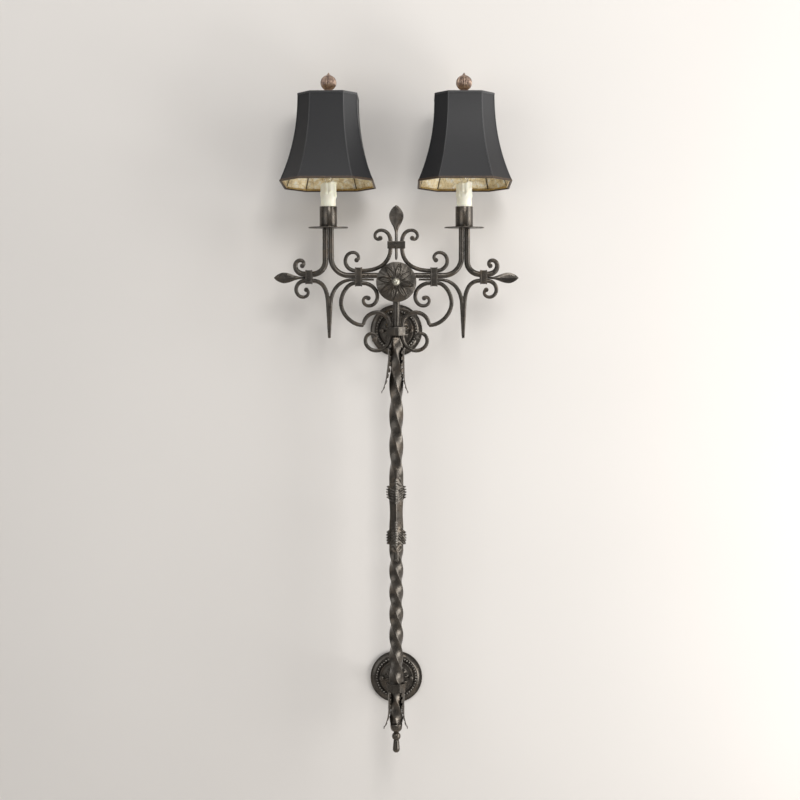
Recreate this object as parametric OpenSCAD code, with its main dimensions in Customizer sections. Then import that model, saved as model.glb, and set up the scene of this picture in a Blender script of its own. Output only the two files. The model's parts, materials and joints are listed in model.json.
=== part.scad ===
// Wall sconce in forged iron: a long twisted torch on two round wall plates, with scrolled arms
// that carry two candle lights under cut-corner shades.
// Millimetres. The origin is the centre of the upper wall plate's back face, the wall is the
// plane y = 0, the torch stands in front of it towards -Y, and +Z is up.

/* [Torch] */
// Distance of the torch's middle plane from the wall
stand_off = 110; // [100:1:140]
// Height from the upper wall plate's centre down to the lower one's
plate_pitch = 670; // [640:1:700]
// Side of the square bar of the shaft
shaft_side = 19; // [17:0.1:20]
// Chamfer worn along the shaft's corners
shaft_chamfer = 0.3; // [0.2:0.1:2]
// Height that the upper twist takes for a quarter turn
upper_pitch = 58; // [45:1:75]
// Height that the lower twist takes for a quarter turn
lower_pitch = 40.6; // [32:0.1:55]
// Depth of the straight stretch's upper end below the upper wall plate's centre
straight_top = 273; // [262:1:285]
// Length of the straight stretch under the two cast leaves
straight_len = 136; // [130:1:145]
// Depth of the shaft's foot below the lower wall plate's centre
foot_drop = 69; // [60:1:85]
// Outer radius of the tubes of the riser and the wall stems
tube_r = 6.3; // [5.8:0.1:7]
// Wall of the riser and the wall stems
tube_wall = 1.6; // [1:0.1:2]
// Depth that the waist between the two cast leaves is drawn in on each side of the bar
waist = 0.8; // [0:0.1:2]
// Height of the straps that bind the torch to its stems
strap_h = 16; // [14:0.5:24]
// Thickness of the straps and collars
band = 2; // [1.4:0.1:2.6]
// Radius of the turned drop's ball under the foot
drop_ball_r = 8.2; // [7:0.1:10]
// Length of the turned drop below its ball
drop_len = 24; // [18:1:32]

/* [Wall plates] */
// Outer radius of the stamped wall plates
plate_r = 49.5; // [47:0.5:60]
// Depth of the stamped wall plates
plate_depth = 17; // [15:0.5:24]
// Thickness of the stamped sheet
sheet = 1.2; // [0.8:0.1:1.6]
// Radius of the ring of beads
bead_ring_r = 37.5; // [36:0.5:39]
// Radius of the hidden mounting discs
disc_r = 42; // [40.5:0.5:44]
// Thickness of the hidden mounting discs
disc_t = 2.5; // [2:0.1:4]
// Distance between the two wall screws of a mounting disc
screw_pitch = 70; // [64:1:74]
// Radius of the holes for the wall screws
screw_hole_r = 2.5; // [2:0.1:3]
// Distance of each ball nut from the plate's centre
nut_x = 28.5; // [26:0.5:30]
// Radius of the ball nuts
nut_r = 4.6; // [4:0.1:5.5]

/* [Ironwork] */
// Distance of each candle from the middle of the torch
candle_x = 126.8; // [120:0.1:140]
// Height of the two arm tubes above the upper wall plate's centre
arm_z = 104.2; // [98:0.1:112]
// Outer radius of the arm tubes
arm_r = 5; // [4.4:0.1:5.4]
// Bend radius of the arm tubes
arm_bend = 33; // [26:1:38]
// Radius of the outer scrolls' bar
outer_r = 5.4; // [4.6:0.1:5.8]
// Radius of the spikes' branches
spike_r = 3.9; // [3.4:0.1:4.4]
// Radius of the other scrolls' bars
bar_r = 3.8; // [3.2:0.1:4.2]
// Distance of the arm collars from the middle of the torch
collar_x = 70.4; // [64:0.1:76]
// Width of the arm collars
collar_w = 13.3; // [10:0.1:16]
// Distance of the end collars beyond the candles
end_reach = 36.4; // [33:0.1:42]
// Width of the end collars
end_w = 13; // [10:0.1:15]
// Height of the two end leaves
leaf_z = 99.6; // [97:0.1:102]
// Length of the end leaves from neck to tip
leaf_len = 50; // [40:1:60]
// Greatest width of the end leaves
leaf_w = 19.8; // [16:0.1:24]
// Height of the crown collar's middle
crown_z = 161.3; // [156:0.1:168]
// Distance of the crown scrolls' bars from the middle inside the crown collar
crown_x = 10.8; // [10:0.1:12]
// Height of the crown spear's tip
spear_tip_z = 235.7; // [225:0.1:250]
// Greatest width of the crown spear
spear_w = 26.9; // [22:0.1:32]
// Depth of the spikes' tips below the upper wall plate's centre
spike_drop = 13.2; // [5:0.1:25]
// Height of the corner where each lower scroll meets its brace
corner_z = 11; // [6:0.5:16]
// Distance of that corner from the middle of the torch
corner_x = 61; // [58:0.5:65]

/* [Rosette] */
// Height of the rosette's centre
rosette_z = 91.9; // [88:0.1:95]
// Radius of the rosette
rosette_r = 37.5; // [34:0.1:40]
// Depth of the rosette's dome
rosette_dome = 9; // [6:0.5:12]
// Number of embossed leaves on the rosette
rosette_leaves = 8; // [6:1:10]
// Radius of the rosette's button
button_r = 7.2; // [6:0.1:9]
// Radius of the hub that the arms run into
hub_r = 23; // [21:0.5:26]
// Depth of the hub from front to back
hub_depth = 22; // [18:0.5:28]

/* [Candles] */
// Height of the drip pans' underside
pan_z = 192.2; // [185:0.1:205]
// Radius of the drip pans
pan_r = 37.2; // [32:0.1:45]
// Thickness of the drip pans
pan_t = 2.4; // [1.6:0.1:3.5]
// Outer radius of the candle cups
cup_r = 16.35; // [16.2:0.05:18]
// Height of the candle cups
cup_h = 38; // [30:0.5:48]
// Wall of the candle cups
cup_wall = 1; // [0.8:0.05:1.2]
// Height of the candle sleeves above the cups' floor
sleeve_h = 79.6; // [70:0.1:90]
// Wall of the candle sleeves
sleeve_wall = 1.8; // [1.2:0.1:2.4]
// Radius of the bulbs' screw base
base_r = 6; // [5.5:0.1:6.5]
// Greatest radius of the bulbs' glass
glass_r = 17.5; // [15:0.5:19]
// Wall of the bulbs
glass_wall = 1; // [0.8:0.1:1.6]
// Height of the glass above its widest place
glass_tip = 50; // [40:1:58]
// Height of the bulb clips' pivot above the candle sleeves
pivot_rise = 36; // [30:1:42]

/* [Shades] */
// Height of the shades along their own axis
shade_h = 166; // [150:1:180]
// Half width of a shade's foot across the flats
foot_w = 86; // [80:0.5:92]
// Half width of a shade's top across the flats
top_w = 54.8; // [50:0.1:62]
// Half width of the flat panels at the foot
foot_panel = 50; // [44:0.5:56]
// Half width of the flat panels at the top
top_panel = 31; // [27:0.5:36]
// Drop of a shade's foot below the pivot
shade_drop = 39; // [34:0.5:44]
// Backward lean of the shades on their bulb clips, in degrees
lean = 5.2; // [0:0.1:6]
// Turn of the left shade about its own axis, in degrees
left_turn = -2; // [-15:1:15]
// Thickness of the shades' cover
cover_t = 0.9; // [0.6:0.1:1.4]
// Thickness of the shades' lining
lining_t = 0.5; // [0.3:0.1:0.8]
// Drop of the fitter's washer below a shade's top rim
fitter_drop = 8; // [5:0.5:14]
// Radius of the threaded studs
stud_r = 3; // [2.5:0.1:3.5]
// Radius of the ribbed finial balls
finial_r = 15; // [12:0.5:18]

/* [Fits] */
// Gap between pieces that are pushed or welded together
seat = 0.1; // [0.05:0.01:0.15]
// Radial gap of the pieces that turn
running = 0.06; // [0.04:0.01:0.1]
// Gap between the bulb's glass and its clip
glass_gap = 0.25; // [0.2:0.05:0.4]

/* [Hidden] */
$fn = 48;

iron = [0.17, 0.15, 0.13];
steel = [0.45, 0.44, 0.42];
brass = [0.72, 0.6, 0.35];
ivory = [0.93, 0.89, 0.74];
black_satin = [0.13, 0.13, 0.14];
gold_leaf = [0.76, 0.62, 0.36];
copper = [0.55, 0.36, 0.25];
glass = [0.95, 0.94, 0.9];
pewter = [0.66, 0.65, 0.56];
rubber = [0.2, 0.2, 0.2];

// wall plates
plate_stud_r = 2.2;
rim_edge = 3;
bead_r = 1.7;
step_depth = plate_depth * 0.5;
dome_r = bead_ring_r - bead_r - 1.3;
nut_neck_r = 3.4;

// torch
half_side = shaft_side / 2;
corner_r = half_side * sqrt(2);
straight_low = straight_top + straight_len;
shaft_top_z = -strap_h / 2 - seat;
shaft_foot_z = -plate_pitch - foot_drop;
shoulder = 18;
shoulder_half = tube_r * 0.86;
foot_taper = 12;
waist_half = 24;
foot_half = half_side * 0.84;
cap_r = foot_half * 1.42;
cap_h = 14;
cap_neck_r = 5.6;
drop_r = 6.6;
leaf_sheet = 1.2;
leaf_inner_r = corner_r + 0.25;
strap_half = leaf_inner_r + leaf_sheet + 0.2 + band;
side_steps = 22;
wrap = 50;
upper_leaf_z = -31;
upper_leaf_len = 85;
lower_leaf_len = 84;
cast_t = 1.6;
cast_h = 52;
wing_x = corner_r + 6.2;
wing_gap = 0.3;
teeth = 5;
tooth = 5.6;

// hub and rosette
riser_top_z = rosette_z - hub_r + 6;
hub_wall = 2;
rosette_stud_r = 2.4;
rosette_hole = 3.2;
rosette_t = 1.2;
rosette_ridge = 2.2;
button_back = rosette_face(button_r, 0) + rosette_t + 2 * seat;
button_bore = 5.2;

// bundles of bars inside the arm collars and the end collars, stacked face to face
crown_bar_z = arm_z + arm_r + bar_r + seat;
stub_r = 2.6;
stub_z = arm_z - arm_r - stub_r - seat;
lower_bar_z = stub_z - stub_r - bar_r - seat;
leaf_stem = 1.3;
outer_bar_z = leaf_z + leaf_stem + outer_r + seat;
spike_bar_z = leaf_z - leaf_stem - spike_r - seat;
end_x = candle_x + end_reach;
upright_gap = 0.3;
arm_x = candle_x - arm_r - upright_gap / 2;
outer_x = candle_x + outer_r + upright_gap / 2;
outer_bend = end_x - end_w / 2 - outer_x - 0.3;
spike_x = candle_x - 1.6;
spike_root_z = 46;
spike_tip_z = -spike_drop;
brace_x = tube_r + bar_r + 1.1;
weld_r = bar_r * 0.9;
snub_r = 4.4;

// lamps
floor_t = 2;
floor_z = pan_z + pan_t + floor_t;
sleeve_r = cup_r - cup_wall - seat;
sleeve_top_z = floor_z + sleeve_h;
pivot_z = sleeve_top_z + pivot_rise;
base_z = sleeve_top_z - 26;
neck_z = base_z + 24;
socket_r = sleeve_r - sleeve_wall - 1;
socket_foot_z = base_z - 9;
vent_r = 1.5;
clip_wire = 1.1;
clip_leg = 0.9;
clip_ring_r = 9;
clip_ring_x = glass_r * sqrt(1 - pow(clip_ring_r / glass_tip, 2)) + clip_wire + glass_gap;
shade_top = shade_h - shade_drop;
washer_z = shade_top - fitter_drop;
washer_r = 11;
washer_t = 1.5;
hoop = 2.4;
finial_seat_z = washer_z + washer_t + seat;
finial_z = finial_seat_z + 17 + finial_r;
stud_top_z = finial_seat_z + 20;
lead_r = 2.4;
laminate = 0.05;

// ---------- curves ----------

function dir(a) = [cos(a), sin(a)];

// a bend that leaves p with heading h (degrees, 0 is outwards, 90 is up), turns by turn degrees
// (left is positive), and goes from radius r0 to r1 in n steps, later for a larger ease
function bend(p, h, turn, r0, r1, n, ease = 1, i = 0) =
    i == n ? [p] :
    let (part = turn / n, r = r0 * pow(r1 / r0, pow((i + 0.5) / n, ease)))
    concat([p], bend(p + 2 * r * sin(abs(part) / 2) * dir(h + part / 2), h + part,
        turn, r0, r1, n, ease, i + 1));

// a smooth run from p with heading hp to q with heading hq
function run(p, hp, q, hq, n, pull = 0.4) =
    let (d = norm(q - p) * pull, a = p + d * dir(hp), b = q - d * dir(hq))
    [for (i = [0:n]) let (t = i / n, s = 1 - t)
        s * s * s * p + 3 * s * s * t * a + 3 * s * t * t * b + t * t * t * q];

function last(list) = list[len(list) - 1];
function reversed(list) = [for (i = [len(list) - 1:-1:0]) list[i]];
// one curve after another, without the point that they share
function joined(a, b) = concat(a, [for (i = [1:len(b) - 1]) b[i]]);

// how far along the curve each of its points lies, from 0 to 1
function travel(path) =
    let (sums = [for (i = 0, s = 0; i < len(path);
        s = s + (i + 1 < len(path) ? norm(path[i + 1] - path[i]) : 0), i = i + 1) s])
    [for (s = sums) s / last(sums)];

// a closed skin over rings of points that all have the same count and run anticlockwise
// as seen from the last ring
module skin(rings) {
    n = len(rings[0]);
    top = len(rings) - 1;
    polyhedron(
        points = [for (ring = rings) for (p = ring) p],
        faces = concat(
            [for (i = [0:n - 1]) if (i > 0 && i < n - 1) [0, i, i + 1]],
            [for (j = [0:top - 1]) for (i = [0:n - 1])
                [j * n + i, (j + 1) * n + i, (j + 1) * n + (i + 1) % n]],
            [for (j = [0:top - 1]) for (i = [0:n - 1])
                [j * n + i, (j + 1) * n + (i + 1) % n, j * n + (i + 1) % n]],
            [for (i = [1:n - 2]) [top * n, top * n + i + 1, top * n + i]]));
}

// a forged bar of 8 sides along a curve in the torch's plane; radii is a table of
// [part of the way, half width across the flats], the last end is rounded off, and nothing
// of it goes outside the range of x that limits gives
module bar(path, radii, limits = [-1000, 1000], sides = 8) {
    way = travel(path);
    n = len(path);
    end_r = lookup(1, radii);
    ahead = (path[n - 1] - path[n - 2]) / norm(path[n - 1] - path[n - 2]);
    spine = concat(path, [last(path) + ahead * end_r * 0.45]);
    skin([for (i = [0:n])
        let (before = spine[max(i - 1, 0)], after = spine[min(i + 1, n)],
             t = (after - before) / norm(after - before),
             r = (i == n ? end_r * 0.5 : lookup(way[i], radii)) / cos(180 / sides))
        [for (k = [0:sides - 1]) let (a = 360 * (k + 0.5) / sides)
            [min(max(spine[i][0] - t[1] * r * cos(a), limits[0]), limits[1]),
             -stand_off - r * sin(a), spine[i][1] + t[0] * r * cos(a)]]]);
}

// the thickened end of a scroll, a lump as deep as it is wide
module snub(p) {
    translate([p[0], -stand_off, p[1]]) rotate([90, 0, 0])
        cylinder(h = 2 * snub_r * 0.85, r = snub_r, $fn = 24, center = true);
}

// a round rod between two points
module rod(p, q, r) {
    v = q - p;
    translate(p)
        rotate([0, acos(v[2] / norm(v)), atan2(v[1], v[0])])
            cylinder(h = norm(v), r = r);
}

// lays a round piece that was turned about Z on its side, so that its Z runs towards -Y
module facing_out() {
    rotate([90, 0, 0]) children();
}

module left_side() {
    mirror([1, 0, 0]) children();
}

// ---------- wall side ----------

module mount_disc() {
    facing_out() {
        difference() {
            cylinder(h = disc_t, r = disc_r);
            translate([0, 0, -1]) cylinder(h = disc_t + 2, r = tube_r + seat);
            for (s = [-1, 1])
                translate([0, s * screw_pitch / 2, -1]) cylinder(h = disc_t + 2, r = screw_hole_r);
        }
        for (s = [-1, 1])
            translate([s * nut_x, 0, disc_t / 2])
                cylinder(h = plate_front(nut_x) + 3 - disc_t / 2, r = plate_stud_r);
    }
}

// the stamped plate's outer profile: radius and depth from the wall
function plate_profile() = concat(
    [[plate_r, 0], [plate_r, rim_edge]],
    [for (i = [1:8]) let (a = 90 * i / 8, w = plate_r - bead_ring_r - bead_r)
        [plate_r - w * sin(a), rim_edge + (step_depth - rim_edge) * (1 - cos(a))]],
    [for (i = [0:6]) let (a = 180 * i / 6)
        [bead_ring_r + bead_r * cos(a), step_depth + bead_r * sin(a)]],
    [for (i = [0:8]) let (t = i / 8, r = dome_r + (tube_r + 3 - dome_r) * t) [r, plate_front(r)]],
    [[tube_r + seat, plate_front(tube_r + 3)]]);
// depth of the inner dome at a radius
function plate_front(r) =
    let (t = (dome_r - r) / (dome_r - tube_r - 3))
    step_depth + (plate_depth - step_depth) * sin(90 * min(1, pow(max(t, 0), 0.7)));
function plate_hollow(profile) = concat(
    [for (p = profile) [max(p[0] - (p[1] > rim_edge + 0.5 ? 0.35 : 1) * sheet, tube_r + seat),
        max(p[1] - (p[0] < plate_r ? sheet : 0), 0)]]);

module wall_plate() {
    outer = plate_profile();
    facing_out()
        difference() {
            rotate_extrude($fn = 72) polygon(concat(outer, reversed(plate_hollow(outer))));
            for (s = [-1, 1])
                translate([s * nut_x, 0, 0]) cylinder(h = plate_depth * 2, r = plate_stud_r + seat);
        }
}

module upper_mount_disc() color(steel) mount_disc();
module lower_mount_disc() color(steel) translate([0, 0, -plate_pitch]) mount_disc();
module upper_wall_plate() color(iron) wall_plate();
module lower_wall_plate() color(iron) translate([0, 0, -plate_pitch]) wall_plate();

module plate_ball_nuts() color(iron)
    for (z = [0, -plate_pitch]) for (s = [-1, 1])
        translate([s * nut_x, -plate_front(nut_x - nut_neck_r) - seat, z])
            facing_out()
                difference() {
                    union() {
                        cylinder(h = 2.2, r = nut_neck_r);
                        translate([0, 0, 1 + nut_r * 0.8]) sphere(r = nut_r, $fn = 32);
                    }
                    translate([0, 0, -1]) cylinder(h = 5.5, r = plate_stud_r + running);
                    translate([0, 0, -nut_r]) cylinder(h = nut_r, r = 2 * nut_r);
                }

// a stem from the mounting disc to the torch; its front end is coped round what it meets
module stem(reach, bore_from) {
    facing_out()
        difference() {
            cylinder(h = reach, r = tube_r);
            translate([0, 0, bore_from]) cylinder(h = reach * 2, r = tube_r - tube_wall);
        }
}

module upper_stem() color(iron)
    difference() {
        stem(stand_off - tube_r * 0.6, -1);
        translate([0, -stand_off, -strap_h]) cylinder(h = 2 * strap_h, r = tube_r + seat);
    }

module lower_stem() color(iron)
    translate([0, 0, -plate_pitch]) stem(stand_off - strap_half - seat, -1);

module stem_nuts() color(steel)
    for (z = [0, -plate_pitch])
        translate([0, -disc_t - seat, z])
            facing_out()
                difference() {
                    cylinder(h = 5, r = tube_r + 4.4, $fn = 6);
                    translate([0, 0, -1]) cylinder(h = 7, r = tube_r + seat);
                }

// ---------- shaft ----------

// turn of the square section at a height; 45 puts a corner to the front
function shaft_turn(z) =
    z > -straight_top ? 45 - (z + straight_top) * 90 / upper_pitch :
    z < -straight_low ? 45 - (z + straight_low) * 90 / lower_pitch : 45;
// half side of the section: drawn in at the shoulder, the waist and the foot
function shaft_half(z) = lookup(z, [
    [shaft_foot_z, foot_half], [shaft_foot_z + foot_taper, half_side],
    [shaft_top_z - shoulder, half_side], [shaft_top_z, shoulder_half]])
    - waist * max(0, cos(min(90, abs(z + straight_top + straight_len / 2) * 90 / waist_half)));
function shaft_ring(z) =
    let (w = shaft_half(z), c = w - shaft_chamfer)
    [for (q = [0:3]) for (e = [-c, c]) let (a = shaft_turn(z) + 90 * q)
        [w * cos(a) - e * sin(a), w * sin(a) + e * cos(a) - stand_off, z]];

module shaft() color(iron) {
    upper_n = 44;
    lower_n = 80;
    upper_len = straight_top + shaft_top_z;
    lower_len = -shaft_foot_z - straight_low;
    waist_n = 12;
    skin(concat(
        [for (i = [0:lower_n]) shaft_ring(shaft_foot_z + lower_len * i / lower_n)],
        [for (i = [0:waist_n])
            shaft_ring(-straight_top - straight_len / 2 + waist_half * (2 * i / waist_n - 1))],
        [for (i = [0:upper_n]) shaft_ring(-straight_top + upper_len * i / upper_n)]));
}

// one of the two castings that clasp a corner of the straight stretch: a sheet folded over the
// corner, with a toothed wing on each side, cut to the leaf's outline
module cast_sheet(h) {
    inner = corner_r + 0.15;
    outer = inner + cast_t * sqrt(2);
    side = [[0, -outer], [outer - wing_gap - cast_t, -wing_gap - cast_t],
        [wing_x, -wing_gap - cast_t], [wing_x, -wing_gap], [inner - wing_gap, -wing_gap]];
    linear_extrude(height = h)
        polygon(concat(side, [[0, -inner]],
            [for (i = [len(side) - 1:-1:1]) [-side[i][0], side[i][1]]]));
}

// outline of one side of a cast leaf, from the tip down: [half width, height]
function cast_side() = concat(
    [[2.2, cast_h], [6, cast_h - 9], [9.5, cast_h - 18]],
    [for (i = [0:teeth - 1]) for (p = [[wing_x - 4.4, 0.25], [wing_x - 0.2 - abs(i - 2) * 0.7, 1]])
        [p[0], cast_h - 19 - i * tooth - (1 - p[1]) * tooth + 2]],
    [[wing_x - 6, 3.5], [8, 0]]);

module cast_leaf() {
    side = cast_side();
    intersection() {
        cast_sheet(cast_h);
        translate([0, 2, 0]) rotate([90, 0, 0]) linear_extrude(height = 2 * wing_x)
            polygon(concat(side, [for (i = [len(side) - 1:-1:0]) [-side[i][0], side[i][1]]]));
    }
    // the tip, which curls forward off the corner
    translate([0, -corner_r - cast_t - 0.15, cast_h - 6])
        rotate([90, 0, 90]) translate([0, 0, -2.4])
            linear_extrude(height = 4.8)
                polygon([[1.2, 0], [-0.6, 0], [-1, 16], [-0.2, 22], [1, 22], [0.6, 16]]);
}

module cast_pair() {
    for (turn = [0, 180])
        rotate([0, 0, turn]) cast_leaf();
}

// from the top of the straight stretch, and mirrored from its lower end
module upper_cast_leaves() color(iron)
    translate([0, -stand_off, -straight_top - cast_h]) cast_pair();
module lower_cast_leaves() color(iron)
    translate([0, -stand_off, -straight_low + cast_h]) mirror([0, 0, 1]) cast_pair();

// a serrated leaf bent round one side of the shaft, whose tip flares out
function side_leaf_point(t, across, out, len, flare) =
    let (notch = t < 0.72 ? 1 - 0.24 * ((t * 9) % 1) : 1,
         half = wrap * notch * (t < 0.1 ? 0.7 + 3 * t : t < 0.6 ? 1 : pow((1.02 - t) / 0.42, 0.8)),
         r = leaf_inner_r + out + flare * pow(max(t - 0.55, 0) / 0.45, 1.8),
         a = half * across)
    [r * cos(a), r * sin(a) - stand_off, -t * len];
module side_leaf(z, len, flare) {
    across = [-1, -0.5, 0, 0.5, 1];
    translate([0, 0, z])
        skin([for (i = [side_steps:-1:0]) let (t = i / side_steps)
            concat([for (c = across) side_leaf_point(t, c, leaf_sheet, len, flare)],
                [for (c = reversed(across)) side_leaf_point(t, c, 0, len, flare)])]);
}

module upper_side_leaves() color(iron) {
    side_leaf(upper_leaf_z, upper_leaf_len, 11);
    left_side() side_leaf(upper_leaf_z, upper_leaf_len, 11);
}
module lower_side_leaves() color(iron) {
    side_leaf(-plate_pitch + strap_h / 2 - 2, lower_leaf_len, 8);
    left_side() side_leaf(-plate_pitch + strap_h / 2 - 2, lower_leaf_len, 8);
}

// ---------- straps ----------

// plan of a strap: a folded band with eight sides
function strap_plan(half_x, half_y, flat_x, flat_y) = [
    [half_x, -flat_y], [half_x, flat_y], [flat_x, half_y], [-flat_x, half_y],
    [-half_x, flat_y], [-half_x, -flat_y], [-flat_x, -half_y], [flat_x, -half_y]];

module strap(half_x, half_y, flat_x, flat_y) {
    translate([0, -stand_off, -strap_h / 2])
        difference() {
            linear_extrude(height = strap_h)
                polygon(strap_plan(half_x, half_y, flat_x, flat_y));
            translate([0, 0, -1]) linear_extrude(height = strap_h + 2)
                polygon(strap_plan(half_x - band, half_y - band, flat_x - band * 0.4,
                    flat_y - band * 0.4));
        }
}

module upper_strap() color(iron)
    difference() {
        strap(brace_x + bar_r + seat + band, tube_r + band + 6.5, 4, 6);
        translate([0, -stand_off, 0]) rotate([-90, 0, 0]) cylinder(h = 60, r = tube_r + seat);
    }

module lower_strap() color(iron)
    translate([0, 0, -plate_pitch]) strap(strap_half, strap_half, 7, 7);

// ---------- foot ----------

module foot_cap() color(iron)
    translate([0, -stand_off, shaft_foot_z - seat - cap_h])
        rotate_extrude()
            polygon(concat([[0, 0], [cap_neck_r, 0]],
                [for (i = [1:6]) let (a = 90 * i / 6)
                    [cap_neck_r + (cap_r - cap_neck_r) * sin(a), (cap_h - 3) * (1 - cos(a))]],
                [[cap_r, cap_h], [0, cap_h]]));

module drop_finial() color(iron)
    translate([0, -stand_off, shaft_foot_z - 2 * seat - cap_h]) {
        translate([0, 0, -1.5]) cylinder(h = 1.5, r = 5);
        translate([0, 0, -1.5 - drop_ball_r * 0.92])
            difference() {
                sphere(r = drop_ball_r);
                translate([0, 0, drop_ball_r * 0.92]) cylinder(h = drop_ball_r, r = 2 * drop_ball_r);
            }
        translate([0, 0, -1.5 - drop_ball_r * 1.8 - drop_len])
            rotate_extrude()
                polygon(concat([[0, 0]],
                    [for (i = [1:6]) let (a = 90 * i / 6) [drop_r * sin(a), drop_r * (1 - cos(a))]],
                    [[drop_r * 0.97, drop_len * 0.45], [drop_r * 0.78, drop_len], [0, drop_len]]));
    }

// ---------- riser, hub and arms ----------

module riser() color(iron)
    translate([0, -stand_off, 0])
        difference() {
            translate([0, 0, shaft_top_z + seat])
                cylinder(h = riser_top_z - shaft_top_z - seat, r = tube_r);
            translate([0, 0, shaft_top_z + 2])
                cylinder(h = riser_top_z - shaft_top_z, r = tube_r - tube_wall);
            rotate([-90, 0, 0]) cylinder(h = 2 * tube_r, r = tube_r - tube_wall);
        }

module hub() color(iron)
    translate([0, -stand_off + hub_depth / 2, rosette_z])
        facing_out() {
            difference() {
                cylinder(h = hub_depth, r = hub_r);
                translate([0, 0, hub_wall]) cylinder(h = hub_depth, r = hub_r - hub_wall);
                translate([0, arm_z - rosette_z, hub_depth / 2]) rotate([0, 90, 0])
                    cylinder(h = 3 * hub_r, r = arm_r + seat, center = true);
                translate([0, 0, hub_depth / 2]) rotate([90, 0, 0])
                    cylinder(h = 2 * hub_r, r = tube_r + seat);
            }
            // the stud that holds the rosette
            translate([0, 0, hub_wall / 2])
                cylinder(h = hub_depth + button_back + button_bore - 1.5, r = rosette_stud_r);
        }

// depth of the rosette's face in front of its rim
function rosette_face(r, a) =
    let (sector = 360 / rosette_leaves,
         off = abs(((a + sector / 2) % sector) - sector / 2),
         along = (r - rosette_hole) / (rosette_r - rosette_hole),
         half = 15 * sin(180 * min(1, max(0, along))) + 0.5)
    rosette_dome * (1 - pow(r / rosette_r, 2)) +
        rosette_ridge * max(0, 1 - off / half) * sin(180 * along);
module rosette() color(iron) {
    steps = 8;
    rings = [for (i = [0:steps]) rosette_hole + (rosette_r - rosette_hole) * pow(i / steps, 0.9)];
    spokes = rosette_leaves * 8;
    translate([0, -stand_off - hub_depth / 2 - seat, rosette_z])
        facing_out()
            lathe_skin(spokes,
                [for (r = rings) [for (k = [0:spokes - 1]) let (a = 360 * k / spokes)
                    [r * cos(a), r * sin(a), rosette_face(r, a) + rosette_t]]],
                [for (r = reversed(rings)) [for (k = [0:spokes - 1]) let (a = 360 * k / spokes)
                    [r * cos(a), r * sin(a),
                     max(0, rosette_dome * (1 - pow(r / rosette_r, 2)) - rosette_t / 2)]]]);
}

// a closed skin that runs over the outer rings, back under the inner ones and round to the start
module lathe_skin(n, over, under) {
    rings = concat(over, under);
    m = len(rings);
    polyhedron(
        points = [for (ring = rings) for (p = ring) p],
        faces = concat(
            [for (j = [0:m - 1]) for (i = [0:n - 1])
                [j * n + i, j * n + (i + 1) % n, ((j + 1) % m) * n + (i + 1) % n]],
            [for (j = [0:m - 1]) for (i = [0:n - 1])
                [j * n + i, ((j + 1) % m) * n + (i + 1) % n, ((j + 1) % m) * n + i]]));
}

module rosette_button() color(pewter)
    translate([0, -stand_off - hub_depth / 2 - button_back, rosette_z])
        facing_out()
            difference() {
                union() {
                    cylinder(h = 1.6, r = button_r);
                    intersection() {
                        translate([0, 0, 0.6]) sphere(r = button_r);
                        translate([0, 0, 1]) cylinder(h = button_r, r = button_r);
                    }
                }
                translate([0, 0, -1]) cylinder(h = button_bore + 1, r = rosette_stud_r + running);
            }

// an arm tube: out from the hub, and up through the drip pan into the cup's floor
module arm_run(r) {
    hub_end = sqrt(hub_r * hub_r - pow(arm_z - rosette_z, 2)) - 4;
    translate([hub_end, -stand_off, arm_z]) rotate([0, 90, 0])
        cylinder(h = arm_x - arm_bend - hub_end, r = r);
    translate([arm_x - arm_bend, -stand_off, arm_z + arm_bend]) rotate([90, 0, 0])
        rotate_extrude(angle = 90, start = 270, $fn = 96)
            translate([arm_bend, 0]) circle(r = r, $fn = 48);
    translate([arm_x, -stand_off, arm_z + arm_bend])
        cylinder(h = floor_z - arm_z - arm_bend, r = r);
}

module arm() {
    difference() {
        arm_run(arm_r);
        arm_run(arm_r - tube_wall);
        // the bore is open at both ends
        translate([0, -stand_off, arm_z]) rotate([0, 90, 0])
            cylinder(h = 2 * hub_r, r = arm_r - tube_wall);
        translate([arm_x, -stand_off, floor_z - 5]) cylinder(h = 10, r = arm_r - tube_wall);
    }
}
module right_arm() color(iron) arm();
module left_arm() color(iron) left_side() arm();

// ---------- scrolls (right side; the left is its mirror image) ----------

// upright beside the arm, down and out through the end collar, and up into an eye
module outer_scroll() {
    down = [outer_x, outer_bar_z + outer_bend];
    out = [end_x + end_w / 2 + 1.2, outer_bar_z];
    eye = bend(out, 0, 345, 22.6, 3.7, 26, 0.84);
    union() {
        bar(joined(joined([[outer_x, pan_z - seat], [outer_x, pan_z - 30], down],
                bend(down, 270, 90, outer_bend, outer_bend, 9)),
                joined([[outer_x + outer_bend, outer_bar_z], out], eye)),
            [[0, outer_r], [0.66, outer_r], [0.72, outer_r * 0.92], [0.9, 3.7], [0.97, 3.1],
             [1, 3.4]]);
        snub(last(eye));
    }
}

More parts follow.
